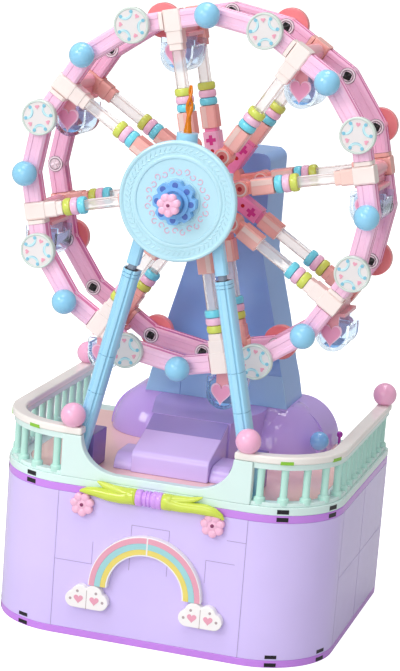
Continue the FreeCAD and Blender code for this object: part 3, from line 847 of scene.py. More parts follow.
@dataclass
class BaseBox:
    """The box under the deck: plates, walls, deck and their marks."""

    half_w: float = 72.0
    front: float = -60.0
    corner: float = 32.0
    plate: float = 3.2
    band: float = 60.8
    notch: float = 4.8
    notch_turns: Flat = (65.6, 22.0)
    notch_heights: Tuple[Flat, ...] = ((0.5, 2.1), (3.9, 5.4), (61.5, 63.3), (64.7, 66.5))
    clip: Flat = (84.9, 86.3)
    side_seams: Tuple[float, ...] = (-28.0, 12.0, 56.0)

    def bend(self) -> Flat:
        """Return the middle of the right front corner's curve."""
        return self.half_w - self.corner, self.front + self.corner

    def notches(self) -> Mould:
        """Return the dark slots and green clips in the edges of the front corners.

        Returns:
            The shapes, in millimetres.
        """
        marks = Mould()
        middle_x, middle_y = self.bend()
        reach = self.corner - 0.6
        for degrees in self.notch_turns:
            a = math.radians(degrees)
            one = Mould()
            for low, high in self.notch_heights:
                one.box((-0.5 * self.notch, -0.62, low), (0.5 * self.notch, 0.5, high),
                        Finish(Tone.NOTCH, Gloss.SATIN))
            one.box((-0.55 * self.notch, -0.64, self.clip[0]), (0.55 * self.notch, 0.5, self.clip[1]),
                    Finish(Tone.NOTCH_GREEN))
            spot = Matrix.Translation((middle_x + reach * math.cos(a), middle_y - reach * math.sin(a), 0))
            marks.take(one, spot @ Matrix.Rotation(math.radians(90 - degrees), 4, "Z"))
        return both_sides(marks)

    def seams(self) -> Mould:
        """Return the fine seams between the wall panels.

        Returns:
            The shapes, in millimetres.
        """
        lines = Mould()
        seam = Finish(Tone.SEAM, Gloss.SATIN)
        y0, y1 = self.front - 0.04, self.front + 0.6
        for right, low, high in ((40.0, self.plate, self.band), (24.0, 32.0, 41.6), (8.0, 32.0, 38.4),
                                 (8.0, 41.6, 51.2)):
            for x in (-right, right):
                lines.box((x - 0.12, y0, low), (x + 0.12, y1, high), seam)
        for z, left, right in ((32.0, -40.0, -24.0), (51.2, -8.0, 8.0), (51.2, 32.0, 40.0),
                               (41.6, 24.0, 36.0)):
            lines.box((left, y0, z - 0.12), (right, y1, z + 0.12), seam)
        for x in (-self.half_w, self.half_w):
            for y in self.side_seams:
                lines.box((x - 0.04, y - 0.1, self.plate), (x + 0.04, y + 0.1, self.band), seam)
            lines.box((x - 0.04, self.side_seams[0], 31.9), (x + 0.04, self.side_seams[-1], 32.1), seam)
        return lines

    def build(self, work: Workshop) -> None:
        """Make the pieces of the base.

        Args:
            work: The workshop that makes the pieces.
        """
        for name, node, tone, slot, ease in (
                ("base_plate_piece", "base_plate", Tone.ORCHID, "orchid", 0.4),
                ("front_wall", "wall_front", Tone.LAVENDER, "lavender", 0.15),
                ("curved_walls", "wall_shell", Tone.LAVENDER, "lavender", 0.15),
                ("orchid_band", "deck_band", Tone.ORCHID, "orchid", 0.3),
                ("mint_edge", "deck_edge", Tone.MINT, "mint", 0.3),
                ("salmon_deck", "deck_floor", Tone.FLOOR, "salmon_floor", 0.2)):
            work.polish(name, node, Finish(tone), "stand", ease)
        work.cast("edge_notches", self.notches(), "stand", ease=0.0)
        work.cast("wall_seams", self.seams(), "stand", ease=0.0)


@dataclass
class Railing:
    """The gateway panel, fence, handrail and corner balls."""

    deck: float = 67.2
    low: float = 84.8
    foot: float = 1.6
    strip_low: float = 2.4
    start: float = 43.0
    rear: float = 53.0
    strip_rear: float = 56.0
    inset: float = 3.0
    outer: float = 1.0
    inner: float = 5.0
    pitch: float = 9.2
    base: BaseBox = field(default_factory=BaseBox)

    def path(self) -> List[Flat]:
        """Return evenly spaced places of the right hand balusters.

        Returns:
            The points, in millimetres.
        """
        bend_x, bend_y = self.base.bend()
        radius = self.base.corner - self.inset
        bend = math.pi / 2 * radius
        lead = self.start - bend_x
        total = bend - lead + (self.rear - bend_y)
        count = round(total / self.pitch)
        spots = []
        for index in range(count + 1):
            way = lead + total * index / count
            if way < bend:
                a = -math.pi / 2 + way / radius
                spots.append((bend_x + radius * math.cos(a), bend_y + radius * math.sin(a)))
            else:
                spots.append((self.base.half_w - self.inset, bend_y + way - bend))
        return spots

    def baluster(self) -> Mould:
        """Return one turned baluster, standing on the deck.

        Returns:
            The shapes, in millimetres.
        """
        post = Mould()
        top = self.low - self.deck - self.foot
        profile = [(0, 0.8), (2.4, 0.8), (2.4, 2.9), (2.1, 3.3), (1.6, 3.6), (1.5, 8.0), (1.6, top - 1.0),
                   (2.0, top), (0, top)]
        post.lathe(profile, ORIGIN, UP, Finish(Tone.MINT_DEEP), 14)
        return post

    def strip(self, low: float, high: float) -> Mould:
        """Return the fence strips between two heights, left and right.

        Args:
            low: Their lower height.
            high: Their upper height.

        Returns:
            The shapes, in millimetres.
        """
        bend_x, bend_y = self.base.bend()
        runs = []
        for inset in (self.outer, self.inner):
            reach = self.base.corner - inset
            runs.append(arc(bend_x, bend_y, reach, reach, -90, 0, 15))
            runs[-1].append((self.base.half_w - inset, self.strip_rear))
        flat = Mould()
        flat.prism(runs[0] + runs[1][::-1], -high, -low, Finish(Tone.MINT))
        right = Mould()
        right.take(flat, Matrix(((1, 0, 0, 0), (0, 0, 1, 0), (0, -1, 0, 0), (0, 0, 0, 1))))
        return both_sides(right)

    def build(self, work: Workshop) -> None:
        """Make the pieces of the railing.

        Args:
            work: The workshop that makes the pieces.
        """
        work.polish("gateway_flanks", "gateway_panel", Finish(Tone.MINT), "stand", 0.4)
        strips = self.strip(self.deck, self.deck + self.foot)
        strips.take(self.strip(self.low - self.strip_low, self.low))
        work.cast("fence_strips", strips, "stand", ["fence"], 0.2)
        spots = [((sign * x, y, self.deck), ORIGIN) for sign in (-1, 1) for x, y in self.path()]
        work.repeat("fence_balusters", self.baluster(), spots, Finish(Tone.MINT_DEEP), "stand", "mint")
        work.polish("cream_handrail", "handrail", Finish(Tone.CREAM), "stand", 0.9)
        work.polish("pink_rail_balls", "rail_balls", Finish(Tone.BALL_PINK, Gloss.POLISHED), "stand",
                    0.0)


@dataclass
class FrontOrnaments:
    """Rainbow, clouds, bow and flowers on the front wall."""

    wall: float = -60.0
    deep: float = 3.2
    arch: Flat = (24.0, 16.0)
    arch_z: float = 24.0
    bands: Tuple[Tuple[float, float, Tone], ...] = (
        (23.6, 21.3, Tone.RAIN_PINK), (21.3, 18.8, Tone.RAIN_BLUE), (18.8, 16.6, Tone.RAIN_YELLOW))
    cloud_x: float = 24.2
    cloud_z: float = 13.6
    knot: Flat = (-0.8, 63.7)
    flowers: Tuple[Flat, ...] = ((-29.2, 57.0), (26.0, 56.9))
    cloud_dots: Tuple[Flat, ...] = ((6.9, 3.7), (4.0, 7.2))
    ribs: Tuple[Flat, ...] = (
        (0, -5.6), (3.0, -5.6), (3.4, -5.3), (3.5, -4.9), (3.5, -3.2), (3.3, -2.9), (2.7, -2.7), (2.7, -2.2),
        (3.3, -1.9), (3.3, -1.0), (2.8, -0.8), (2.8, -0.4), (3.3, -0.2), (3.3, 0.5), (2.8, 0.7), (2.8, 1.1),
        (3.4, 1.4), (3.5, 1.8), (3.5, 3.0), (3.3, 3.3), (3.5, 3.6), (3.5, 5.0), (3.4, 5.3), (3.0, 5.6),
        (0, 5.6))
    collar: Tuple[Flat, ...] = ((0, 5.5), (3.1, 5.5), (3.4, 5.8), (3.4, 9.2), (3.1, 9.6), (0, 9.6))
    leaves: Tuple[Tuple[float, Tuple[Point, ...]], ...] = (
        (0.0, ((7.0, 0.0, 3.2), (13.0, -0.9, 2.4), (18.0, -0.7, 2.2), (23.0, -0.7, 2.3), (26.5, -1.2, 1.8),
               (29.2, -2.3, 1.1), (30.5, -3.6, 0.4))),
        (0.2, ((7.0, 0.3, 2.9), (12.0, 1.5, 1.9), (16.0, 2.3, 1.3), (19.0, 3.2, 0.9), (21.0, 4.1, 0.35))),
        (0.0, ((-7.0, 0.0, 3.3), (-13.0, -1.0, 2.7), (-18.0, -0.9, 2.5), (-23.0, -0.4, 2.1),
               (-27.0, -0.4, 1.6), (-29.6, -0.8, 0.8), (-30.4, -1.1, 0.4))),
        (0.2, ((-7.0, 0.2, 3.0), (-12.0, 0.9, 2.4), (-16.5, 1.9, 1.7), (-20.5, 3.0, 1.3), (-23.2, 4.0, 0.4))))

    def ring(self, mould: Mould, outer: float, inner: float, y0: float, y1: float, tone: Tone) -> None:
        """Add one half ring of the rainbow.

        Args:
            mould: The mould that it goes into.
            outer: Outer radius.
            inner: Inner radius.
            y0: Y of its front.
            y1: Y of its back.
            tone: Its tone.
        """
        outline = arc(0, self.arch_z, outer, outer, 0, 180, 48)
        outline += arc(0, self.arch_z, inner, inner, 180, 0, 48)
        mould.prism(outline, y0, y1, Finish(tone))

    def rainbow(self) -> Mould:
        """Return the striped arch.

        Returns:
            The shapes, in millimetres.
        """
        arch = Mould()
        front = self.wall - self.deep
        outer, inner = self.arch
        self.ring(arch, outer, inner, front + 0.12, self.wall, Tone.WHITE)
        for high, low, tone in self.bands:
            self.ring(arch, high, low, front, front + 0.5, tone)
        arch.box((-0.35, front - 0.03, self.arch_z + inner - 0.05), (0.35, self.wall, self.arch_z + outer),
                 Finish(Tone.WHITE))
        return arch

    def cloud_marks(self) -> Mould:
        """Return the printed hearts and dots and the middle seam of both clouds.

        Returns:
            The shapes, in millimetres.
        """
        marks = Mould()
        face = self.wall - self.deep
        low, high = face - 0.08, face + 0.3
        grey, pink = Finish(Tone.CLOUD_GREY), Finish(Tone.RAIN_PINK)
        for middle in (-self.cloud_x, self.cloud_x):
            marks.box((middle - 0.12, face - 0.04, self.cloud_z), (middle + 0.12, high, self.cloud_z + 8.0),
                      grey)
            for sign in (-1, 1):
                marks.prism(heart(4.0, middle + sign * 3.4, self.cloud_z + 4.0, 24), low, high, pink)
                for x, z in self.cloud_dots:
                    marks.disc(0.6, low, high, middle + sign * x, self.cloud_z + z, grey, 0.05, 12)
        return marks

    def bow(self) -> Mould:
        """Return the ribbed knot with a collar and two leaves on each side.

        Returns:
            The shapes, in millimetres.
        """
        bow, turned = Mould(), Mould()
        knot, leaf = Finish(Tone.KNOT), Finish(Tone.LEAF)
        middle, height = self.knot
        y = self.wall - 1.9
        turned.lathe(self.ribs, ORIGIN, (1, 0, 0), knot, 28)
        for sign in (-1, 1):
            turned.lathe(self.collar, ORIGIN, (sign, 0, 0), leaf, 24)
        bow.take(turned, Matrix.Translation((middle, y, height)) @ Matrix.Diagonal((1, 0.85, 1, 1)))
        for back, run in self.leaves:
            path = [(x, y + back, height + z) for x, z, _ in run]
            bow.tube(path, [reach for _, _, reach in run], leaf, 14)
        return bow

    def build(self, work: Workshop) -> None:
        """Make the ornaments.

        Args:
            work: The workshop that makes the pieces.
        """
        work.cast("striped_rainbow", self.rainbow(), "stand", ["rainbow_arch"], 0.12)
        work.polish("two_clouds", "clouds", Finish(Tone.WHITE), "stand", 0.6)
        work.cast("cloud_marks", self.cloud_marks(), "stand", ease=0.0)
        work.cast("vine_bow", self.bow(), "stand", ["bow"], 0.0, 50.0)
        flowers = Mould()
        for x, z in self.flowers:
            blossom(flowers, (x, self.wall, z), 5.1, 7, 2.4)
        work.cast("front_flowers", flowers, "stand", ["wall_flowers"], 0.0, 50.0)


@dataclass
class DeckScene:
    """Steps, hill, its domes and the small ball and knob beside it."""

    deck: float = 67.2
    foot_x: float = 26.0
    ridge_y: float = -21.0
    ball: Point = (48.7, 19.3, 76.0)
    dome: Point = (27.0, 34.5, 21.5)
    dome_top: float = 86.35
    knob: Flat = (51.4, 48.0)

    def step_finish(self, spot: Vector) -> Finish:
        """Return the finish of the step that a face belongs to, with painted shade on the ramp behind the
        ridge.

        Args:
            spot: Middle of the face in millimetres.

        Returns:
            The finish.
        """
        if abs(spot.x) > self.foot_x:
            return Finish(Tone.FOOT)
        # Faces behind the ridge take the darker ramp lilac as painted shade.
        return Finish(Tone.RAMP if spot.y > self.ridge_y else Tone.STEP)

    def domes(self) -> Mould:
        """Return the two round domes of the hill, cut flat at its top.

        Returns:
            The shapes, in millimetres.
        """
        domes = Mould()
        x, y, reach = self.dome
        highest = math.asin((self.dome_top - self.deck) / reach)
        profile = [(0.0, self.deck)]
        for step in range(15):
            a = highest * step / 14
            profile.append((reach * math.cos(a), self.deck + reach * math.sin(a)))
        profile.append((0.0, self.dome_top))
        for side in (-1, 1):
            domes.lathe(profile, (side * x, y, 0), UP, Finish(Tone.HILL, Gloss.POLISHED), 72)
        return domes

    def studs(self) -> Mould:
        """Return the small blue ball and the knob that stand beside the hill.

        Returns:
            The shapes, in millimetres.
        """
        loose = Mould()
        x, y, z = self.ball
        loose.ball(4.1, self.ball, Finish(Tone.STUD_BLUE, Gloss.POLISHED))
        loose.pin(0.9, self.deck, z - 3.0, (x, y, 0), UP, Finish(Tone.HILL))
        stalk = [(0, 0), (0.6, 0), (0.6, 4.1), (1.1, 4.4), (1.35, 5.2), (1.35, 5.6), (1.1, 6.3), (0.6, 6.7),
                 (0, 6.8)]
        loose.lathe(stalk, (self.knob[0], self.knob[1], self.deck), UP, Finish(Tone.MAGENTA), 20)
        return loose

    def build(self, work: Workshop) -> None:
        """Make the deck pieces.

        Args:
            work: The workshop that makes the pieces.
        """
        work.polish("lilac_steps", "steps", Finish(Tone.STEP), "stand", 0.5, self.step_finish)
        work.polish("domed_hill", "hill", Finish(Tone.HILL), "stand", 0.4)
        work.cast("hill_domes", self.domes(), "stand", ease=0.3)
        work.cast("hill_studs", self.studs(), "stand", ease=0.0)


@dataclass
class Tower:
    """The rear tower, the slabs at its foot with painted light, and the cover of its gears."""

    hill: float = 86.4
    front: float = 24.0
    proud: float = 0.35
    outline: Tuple[Flat, ...] = ((32.0, 86.4), (30.0, 96.0), (28.6, 100.4))
    seam: float = -16.2

    def skirt(self) -> Mould:
        """Return the slabs at the foot of the tower's front, coloured a paler blue as painted light.

        Returns:
            The shapes, in millimetres.
        """
        slabs = Mould()
        # The paler blue of these slabs is painted light.
        tone = Finish(Tone.SKIRT)
        y0, y1 = self.front - self.proud, self.front + 0.6
        top = self.outline[-1][1]
        right = [(self.seam + 0.1, self.hill)] + list(self.outline) + [(self.seam + 0.1, top)]
        left = [(-x, z) for x, z in self.outline] + [(self.seam - 0.1, top), (self.seam - 0.1, self.hill)]
        slabs.prism(right, y0, y1, tone)
        slabs.prism(left, y0, y1, tone)
        return slabs

    def build(self, work: Workshop) -> None:
        """Make the tower pieces.

        Args:
            work: The workshop that makes the pieces.
        """
        work.polish("blue_tower", "tower", Finish(Tone.TOWER), "stand", 0.6)
        work.cast("tower_skirt", self.skirt(), "stand", ease=0.2)
        work.polish("rear_cover", "tower_cover", Finish(Tone.TOWER), "stand", 0.4)


@dataclass
class FrontSupport:
    """The two half-round legs, the bearing head and the flame on it."""

    y: float = -49.5
    foot: float = 38.5
    lean: float = 0.225
    low: float = 67.2
    pin_low: float = 153.6
    pin_high: float = 155.8
    top: float = 172.0
    half: float = 3.4
    joints: Flat = (101.6, 117.4)
    wick: Tuple[Flat, ...] = ((0, 0), (1.7, 0), (1.6, 1.0), (1.1, 4.0), (0.8, 8.0), (0.7, 11.0), (0, 11.2))
    flame_base: float = 210.4
    flame_rise: float = 16.6
    flame_steps: int = 24

    def spot(self, z: float) -> Point:
        """Return the middle of the right leg at a height."""
        return self.foot - self.lean * (z - self.low), self.y, z

    def section(self, half: float) -> List[Flat]:
        """Return the half-round section with its groove.

        Args:
            half: Its radius.

        Returns:
            The points, in millimetres.
        """
        outline = [(half, half), (-half, half)]
        for degrees in range(180, 361, 12):
            a = math.radians(degrees)
            reach = half - (0.7 if degrees in (240, 300) else 0.0)
            outline.append((reach * math.cos(a), reach * math.sin(a)))
        return outline

    def leg(self) -> Mould:
        """Return the right leg in lengths with fine gaps, and its neck.

        Returns:
            The shapes, in millimetres.
        """
        leg = Mould()
        blue, pin = Finish(Tone.LEG), self.pin_low
        body, ring = self.section(self.half - 0.1), self.section(self.half)
        cuts = (self.low,) + self.joints + (pin - 3.0,)
        lengths = [(low + 0.08, high - 0.08, body, blue) for low, high in zip(cuts, cuts[1:])]
        for low, high, section, finish in lengths + [
                (pin - 2.9, pin - 1.6, ring, blue),
                (pin - 1.4, pin, ring, blue),
                (self.low, pin - 0.3, square(2.2, 2.2, 0.8), blue),
                (pin - 0.1, pin + 0.1, square(2.6, 2.6, 0.9), Finish(Tone.NOTCH, Gloss.SATIN)),
                (pin - 0.3, self.pin_high + 0.3, square(1.6, 1.6, 0.7), Finish(Tone.LEG_PIN)),
                (self.pin_high, self.top, square(2.4, 2.4, 0.8), blue)]:
            bar(leg, self.spot(low), self.spot(high), section, finish)
        return leg

    def flame(self) -> Mould:
        """Return the twisted flame.

        Returns:
            The shapes, in millimetres.
        """
        flame = Mould()
        glow = Finish(Tone.FLAME, Gloss.TINTED)
        flame.lathe(self.wick, (0, self.y, self.flame_base), UP, glow, 20)
        for phase in (0.0, math.pi):
            path, radii = [], []
            for step in range(self.flame_steps + 1):
                part = step / self.flame_steps
                swing = 0.75 * math.sin(math.pi * part) + 0.25 * part
                a = phase + 2.2 * math.pi * part
                rise = self.flame_base + 2.0 + self.flame_rise * part
                path.append((swing * math.cos(a), self.y + swing * math.sin(a), rise))
                radii.append(max(0.3, 0.85 - 0.55 * part * part))
            flame.tube(path, radii, glow, 10)
        return flame

    def build(self, work: Workshop) -> None:
        """Make the support pieces.

        Args:
            work: The workshop that makes the pieces.
        """
        work.cast("half_round_legs", both_sides(self.leg()), "stand", ["front_legs"], 0.2)
        work.polish("bearing_head", "front_bearing", Finish(Tone.LEG), "stand", 0.4)
        work.cast("twisted_flame", self.flame(), "stand", ["flame_finial"], 0.0, 60.0)


@dataclass
class Spokes:
    """Hubs, clear rods and tees of the eight double spokes."""

    wheel: Wheel = field(default_factory=Wheel)
    boss: float = 19.0
    boss_rings: Tuple[Tuple[float, float, Tone], ...] = (
        (2.9, 0.05, Tone.ROOT_STRIP), (2.3, 0.1, Tone.CORAL), (1.0, 0.15, Tone.RED_HOLE))
    core: float = 11.0
    pin_hole: float = 14.0
    cross: float = 18.5
    pale: float = 23.5
    start: float = 4.0
    half_root: float = 3.3
    half_neck: float = 2.6
    half_rod: float = 2.2
    pin: float = 1.6
    stem_end: float = 66.5
    collar: Flat = (60.2, 66.0)
    head: float = 65.2
    rosy_tee: int = 2
    pink_arms: Tuple[Tuple[int, Tone], ...] = (
        (0, Tone.BALL_PINK), (1, Tone.PINK_PART), (3, Tone.PINK_PART))

    def root(self, arm: Mould, y0: float) -> None:
        """Add the pale root of a spoke with its lighter face strips.

        Args:
            arm: The mould of the arm.
            y0: Y of the rim's front face.
        """
        beam, end = self.wheel.beam, self.wheel.root_end
        mid = y0 + 0.5 * beam
        # The root's side faces take the salmon finish as painted shade.
        bar(arm, (self.pale, mid, 0), (end, mid, 0), square(self.half_root, 0.5 * beam, 0.6),
            Finish(Tone.ROOT_PALE), Finish(Tone.SALMON))
        for y in (y0 - 0.1, y0 + beam - 0.4):
            arm.box((self.pale + 0.3, y, 0.5), (end - 0.3, y + 0.5, 2.6), Finish(Tone.ROOT_STRIP))

    def neck(self, arm: Mould, mid: float, finish: Finish) -> None:
        """Add the narrow neck that joins a hub arm to the root of its spoke."""
        bar(arm, (self.pale - 3.5, mid, 0), (self.pale + 0.5, mid, 0),
            square(self.half_neck, 0.5 * self.wheel.beam - 0.8, 0.5), finish)

    def pink_arm(self, y0: float, tone: Tone) -> Mould:
        """Return one pink hub arm along +X: a box with a cross and a pin hole.

        Args:
            y0: Y of the rim's front face.
            tone: Its tone.

        Returns:
            The shapes, in millimetres.
        """
        arm = Mould()
        beam = self.wheel.beam
        mid = y0 + 0.5 * beam
        bar(arm, (self.start, mid, 0), (self.pale - 1.5, mid, 0),
            square(self.half_root, 0.5 * beam + 0.3, 0.7), Finish(tone))
        self.neck(arm, mid, Finish(Tone.PINK_PART))
        for face, axis in ((y0 - 0.3, FRONTWARD), (y0 + beam + 0.3, REARWARD)):
            arm.pin(0.85, -0.2, 0.08, (self.pin_hole, face, 0), axis, Finish(Tone.RED_HOLE))
        for half_u, half_w, proud in ((2.1, 0.75, 0.4), (0.75, 2.1, 0.45)):
            for low, high in ((y0 - proud, y0 + 2.0), (y0 + beam - 2.0, y0 + beam + proud)):
                arm.box((self.cross - half_u, low, -half_w), (self.cross + half_u, high, half_w),
                        Finish(Tone.HOT_PINK))
        self.root(arm, y0)
        return arm

    def arm(self, y0: float) -> Mould:
        """Return one salmon hub arm along +X, around the wheel's axis.

        Args:
            y0: Y of the rim's front face.

        Returns:
            The shapes, in millimetres.
        """
        arm = Mould()
        beam = self.wheel.beam
        mid = y0 + 0.5 * beam
        body = Finish(Tone.SALMON)
        bar(arm, (self.start, mid, 0), (self.boss + 2.0, mid, 0), square(3.0, 0.5 * beam - 0.3, 0.6), body)
        profile = [(0, -0.6), (3.1, -0.6), (3.5, -0.2), (3.5, beam + 0.2), (3.1, beam + 0.6), (0, beam + 0.6)]
        arm.lathe(profile, (self.boss, y0, 0), REARWARD, body, 28)
        for face, axis in ((y0 - 0.6, FRONTWARD), (y0 + beam + 0.6, REARWARD)):
            for outer, high, tone in self.boss_rings:
                arm.pin(outer, -0.2, high, (self.boss, face, 0), axis, Finish(tone), 24)
        self.neck(arm, mid, body)
        self.root(arm, y0)
        return arm

    def hubs(self) -> Mould:
        """Return both hubs.

        Returns:
            The shapes, in millimetres.
        """
        hubs = Mould()
        for y0, pinks in zip(self.wheel.rims(), ({}, dict(self.pink_arms))):
            hubs.disc(self.core, y0, y0 + self.wheel.beam, 0, self.wheel.hub, Finish(Tone.SALMON), 0.5, 40)
            for index in range(self.wheel.count):
                one = self.pink_arm(y0, pinks[index]) if index in pinks else self.arm(y0)
                hubs.take(one, self.wheel.turn(index))
        return hubs

    def rods(self) -> Mould:
        """Return the clear rods, each a bar with two fine ribs.

        Returns:
            The shapes, in millimetres.
        """
        rods = Mould()
        low, high = self.wheel.root_end, self.wheel.rod_end
        clear, line = Finish(Tone.WHITE, Gloss.MILKY), Finish(Tone.ROD_LINE)
        for index in range(self.wheel.count):
            for y0 in self.wheel.rims():
                mid = y0 + 0.5 * self.wheel.beam
                one = Mould()
                bar(one, (low, mid, 0), (high, mid, 0), square(self.half_rod, self.half_rod, 0.8), clear)
                for z in (-1.9, 1.9):
                    one.box((low + 0.1, mid - 2.3, z - 0.12), (high - 0.1, mid - 2.1, z + 0.12), line)
                rods.take(one, self.wheel.turn(index))
        return rods

    def tees(self) -> Mould:
        """Return the tees and the pins that carry the gondolas.

        Returns:
            The shapes, in millimetres.
        """
        tees = Mould()
        wheel = self.wheel
        half = 0.5 * wheel.beam
        for index in range(wheel.count):
            one = Mould()
            front_stem = Tone.ROOT_STRIP if index == self.rosy_tee else Tone.TEE
            # The side faces of the tees take a darker finish as painted shade: deeper peach at the front,
            # salmon at the rear.
            for y0, pale, stem, side_shade in ((wheel.front, Tone.TEE, front_stem, Tone.TEE_SIDE_SHADE),
                                          (wheel.rear, Tone.ROOT_PALE, Tone.ROOT_PALE, Tone.SALMON)):
                mid = y0 + half
                for low, high, section, tone in (
                        (wheel.rod_end, self.stem_end, square(2.9, 3.0, 0.6), stem),
                        (self.collar[0], self.collar[1], square(3.3, 3.4, 0.6), stem),
                        (self.head, wheel.tee_end, square(half, half, 0.7), pale)):
                    bar(one, (low, mid, 0), (high, mid, 0), section, Finish(tone), Finish(side_shade))
            deep = wheel.rear - wheel.front - wheel.beam
            one.pin(self.pin, 0, deep, (wheel.middle(), wheel.front + wheel.beam, 0), REARWARD,
                    Finish(Tone.LEG_PIN), 18)
            tees.take(one, wheel.turn(index))
        return tees

    def build(self, work: Workshop) -> None:
        """Make the spoke pieces.

        Args:
            work: The workshop that makes the pieces.
        """
        work.cast("salmon_hubs", self.hubs(), "wheel", ["wheel_hubs"], 0.2)
        work.cast("clear_rods", self.rods(), "wheel", ["spoke_rods"], 0.15)
        work.cast("pale_tees", self.tees(), "wheel", ["spoke_tees"], 0.25)


@dataclass
class Rims:
    """The two sixteen-sided rims with their pin holes."""

    wheel: Wheel = field(default_factory=Wheel)
    gap: float = 3.82
    collar: float = 1.6
    plain_hole: Tuple[int, int] = (6, -1)
    hole_rings: Tuple[Tuple[float, float, float, Tone], ...] = (
        (3.35, 3.2, 0.12, Tone.HOLE_LINE), (3.2, 1.9, 0.3, Tone.HOLE_RING), (2.5, 2.2, 0.34, Tone.HOLE_LINE))

    def hole(self, mould: Mould, spot: Point, facing: int, plain: bool) -> None:
        """Add a pin hole with its ring on a rim face, dark inside unless plain.

        Args:
            mould: The mould that it goes into.
            spot: The middle of the hole.
            facing: -1 for the front face, 1 for the rear face.
            plain: True for a hole with a pale inside.
        """
        axis = (0, facing, 0)
        for outer, inner, high, tone in self.hole_rings:
            mould.lathe([(inner, -0.4), (outer, -0.4), (outer, high - 0.05), (outer - 0.05, high),
                         (inner, high)], spot, axis, Finish(tone), 28)
        inside = Finish(Tone.HOLE_RING if plain else Tone.BLACK, Gloss.SATIN)
        mould.pin(1.6, -0.3, 0.2, spot, axis, inside)
        mould.lathe([(1.6, -0.3), (1.95, -0.3), (1.95, 0.05), (1.6, 0.05)], spot, axis,
                    Finish(Tone.HOLE_RING), 24)
        for turn in (25, 115):
            a = math.radians(turn)
            x, y, z = 1.85 * math.cos(a), spot[1] + facing * 0.15, 1.85 * math.sin(a)
            mould.tube([(spot[0] - x, y, spot[2] - z), (spot[0] + x, y, spot[2] + z)], (0.6, 0.6), inside, 8)

    def sector(self, y0: float) -> Mould:
        """Return the rim between two tees, around the hub's height.

        Args:
            y0: Y of the rim's front face.

        Returns:
            The shapes, in millimetres.
        """
        sector = Mould()
        wheel = self.wheel
        front = y0 == wheel.front
        # The rear rim's deeper pink and the darker pink of the side faces are painted shade.
        pink = Finish(Tone.RIM if front else Tone.REAR_RIM)
        side_shade = Finish(Tone.RIM_SIDE_SHADE if front else Tone.REAR_RIM_SIDE_SHADE)
        half = 0.5 * wheel.beam
        mid = y0 + half
        spots = []
        for reach, degrees in ((wheel.middle(), 0.0), (wheel.rim, -wheel.half_side),
                               (wheel.rim, wheel.half_side - wheel.step), (wheel.middle(), -wheel.step)):
            a = math.radians(degrees)
            spots.append(Vector((reach * math.cos(a), mid, reach * math.sin(a))))
        section = grooved(half, 0.9, 1.1, 0.35)
        for index, (start, end) in enumerate(zip(spots, spots[1:])):
            way = (end - start).normalized()
            first = start + way * (self.gap if index == 0 else 0.0)
            last = end - way * (self.gap if index == 2 else 0.0)
            if index == 2:
                bar(sector, tuple(last - way * self.collar), tuple(last), square(half, half, 0.7),
                    Finish(Tone.TEE if front else Tone.ROOT_PALE))
                last = last - way * (self.collar + 0.15)
            bar(sector, tuple(first), tuple(last), section, pink, side_shade)
        for spot in spots[1:3]:
            sector.disc(half, y0, y0 + wheel.beam, spot.x, spot.z, pink, 0.6, 28)
        return sector

    def rim(self, y0: float, facing: int) -> Mould:
        """Return a whole rim with holes in its front (-1) or rear (1) face.

        Args:
            y0: Y of the rim's front face.
            facing: -1 for the front face, 1 for the rear face.

        Returns:
            The shapes, in millimetres.
        """
        rim = Mould()
        wheel = self.wheel
        one = self.sector(y0)
        y = y0 if facing < 0 else y0 + wheel.beam
        for index in range(wheel.count):
            rim.take(one, wheel.turn(index))
            for way in (-1, 1):
                spot = wheel.spot(wheel.rim, wheel.angle(index) + way * wheel.half_side, y)
                self.hole(rim, spot, facing, facing < 0 and (index, way) == self.plain_hole)
        return rim

    def build(self, work: Workshop) -> None:
        """Make the two rims."""
        work.cast("front_rim", self.rim(self.wheel.front, 1), "wheel", ["rim_front"], 0.0)
        work.cast("rear_rim", self.rim(self.wheel.rear, -1), "wheel", ["rim_rear"], 0.0)


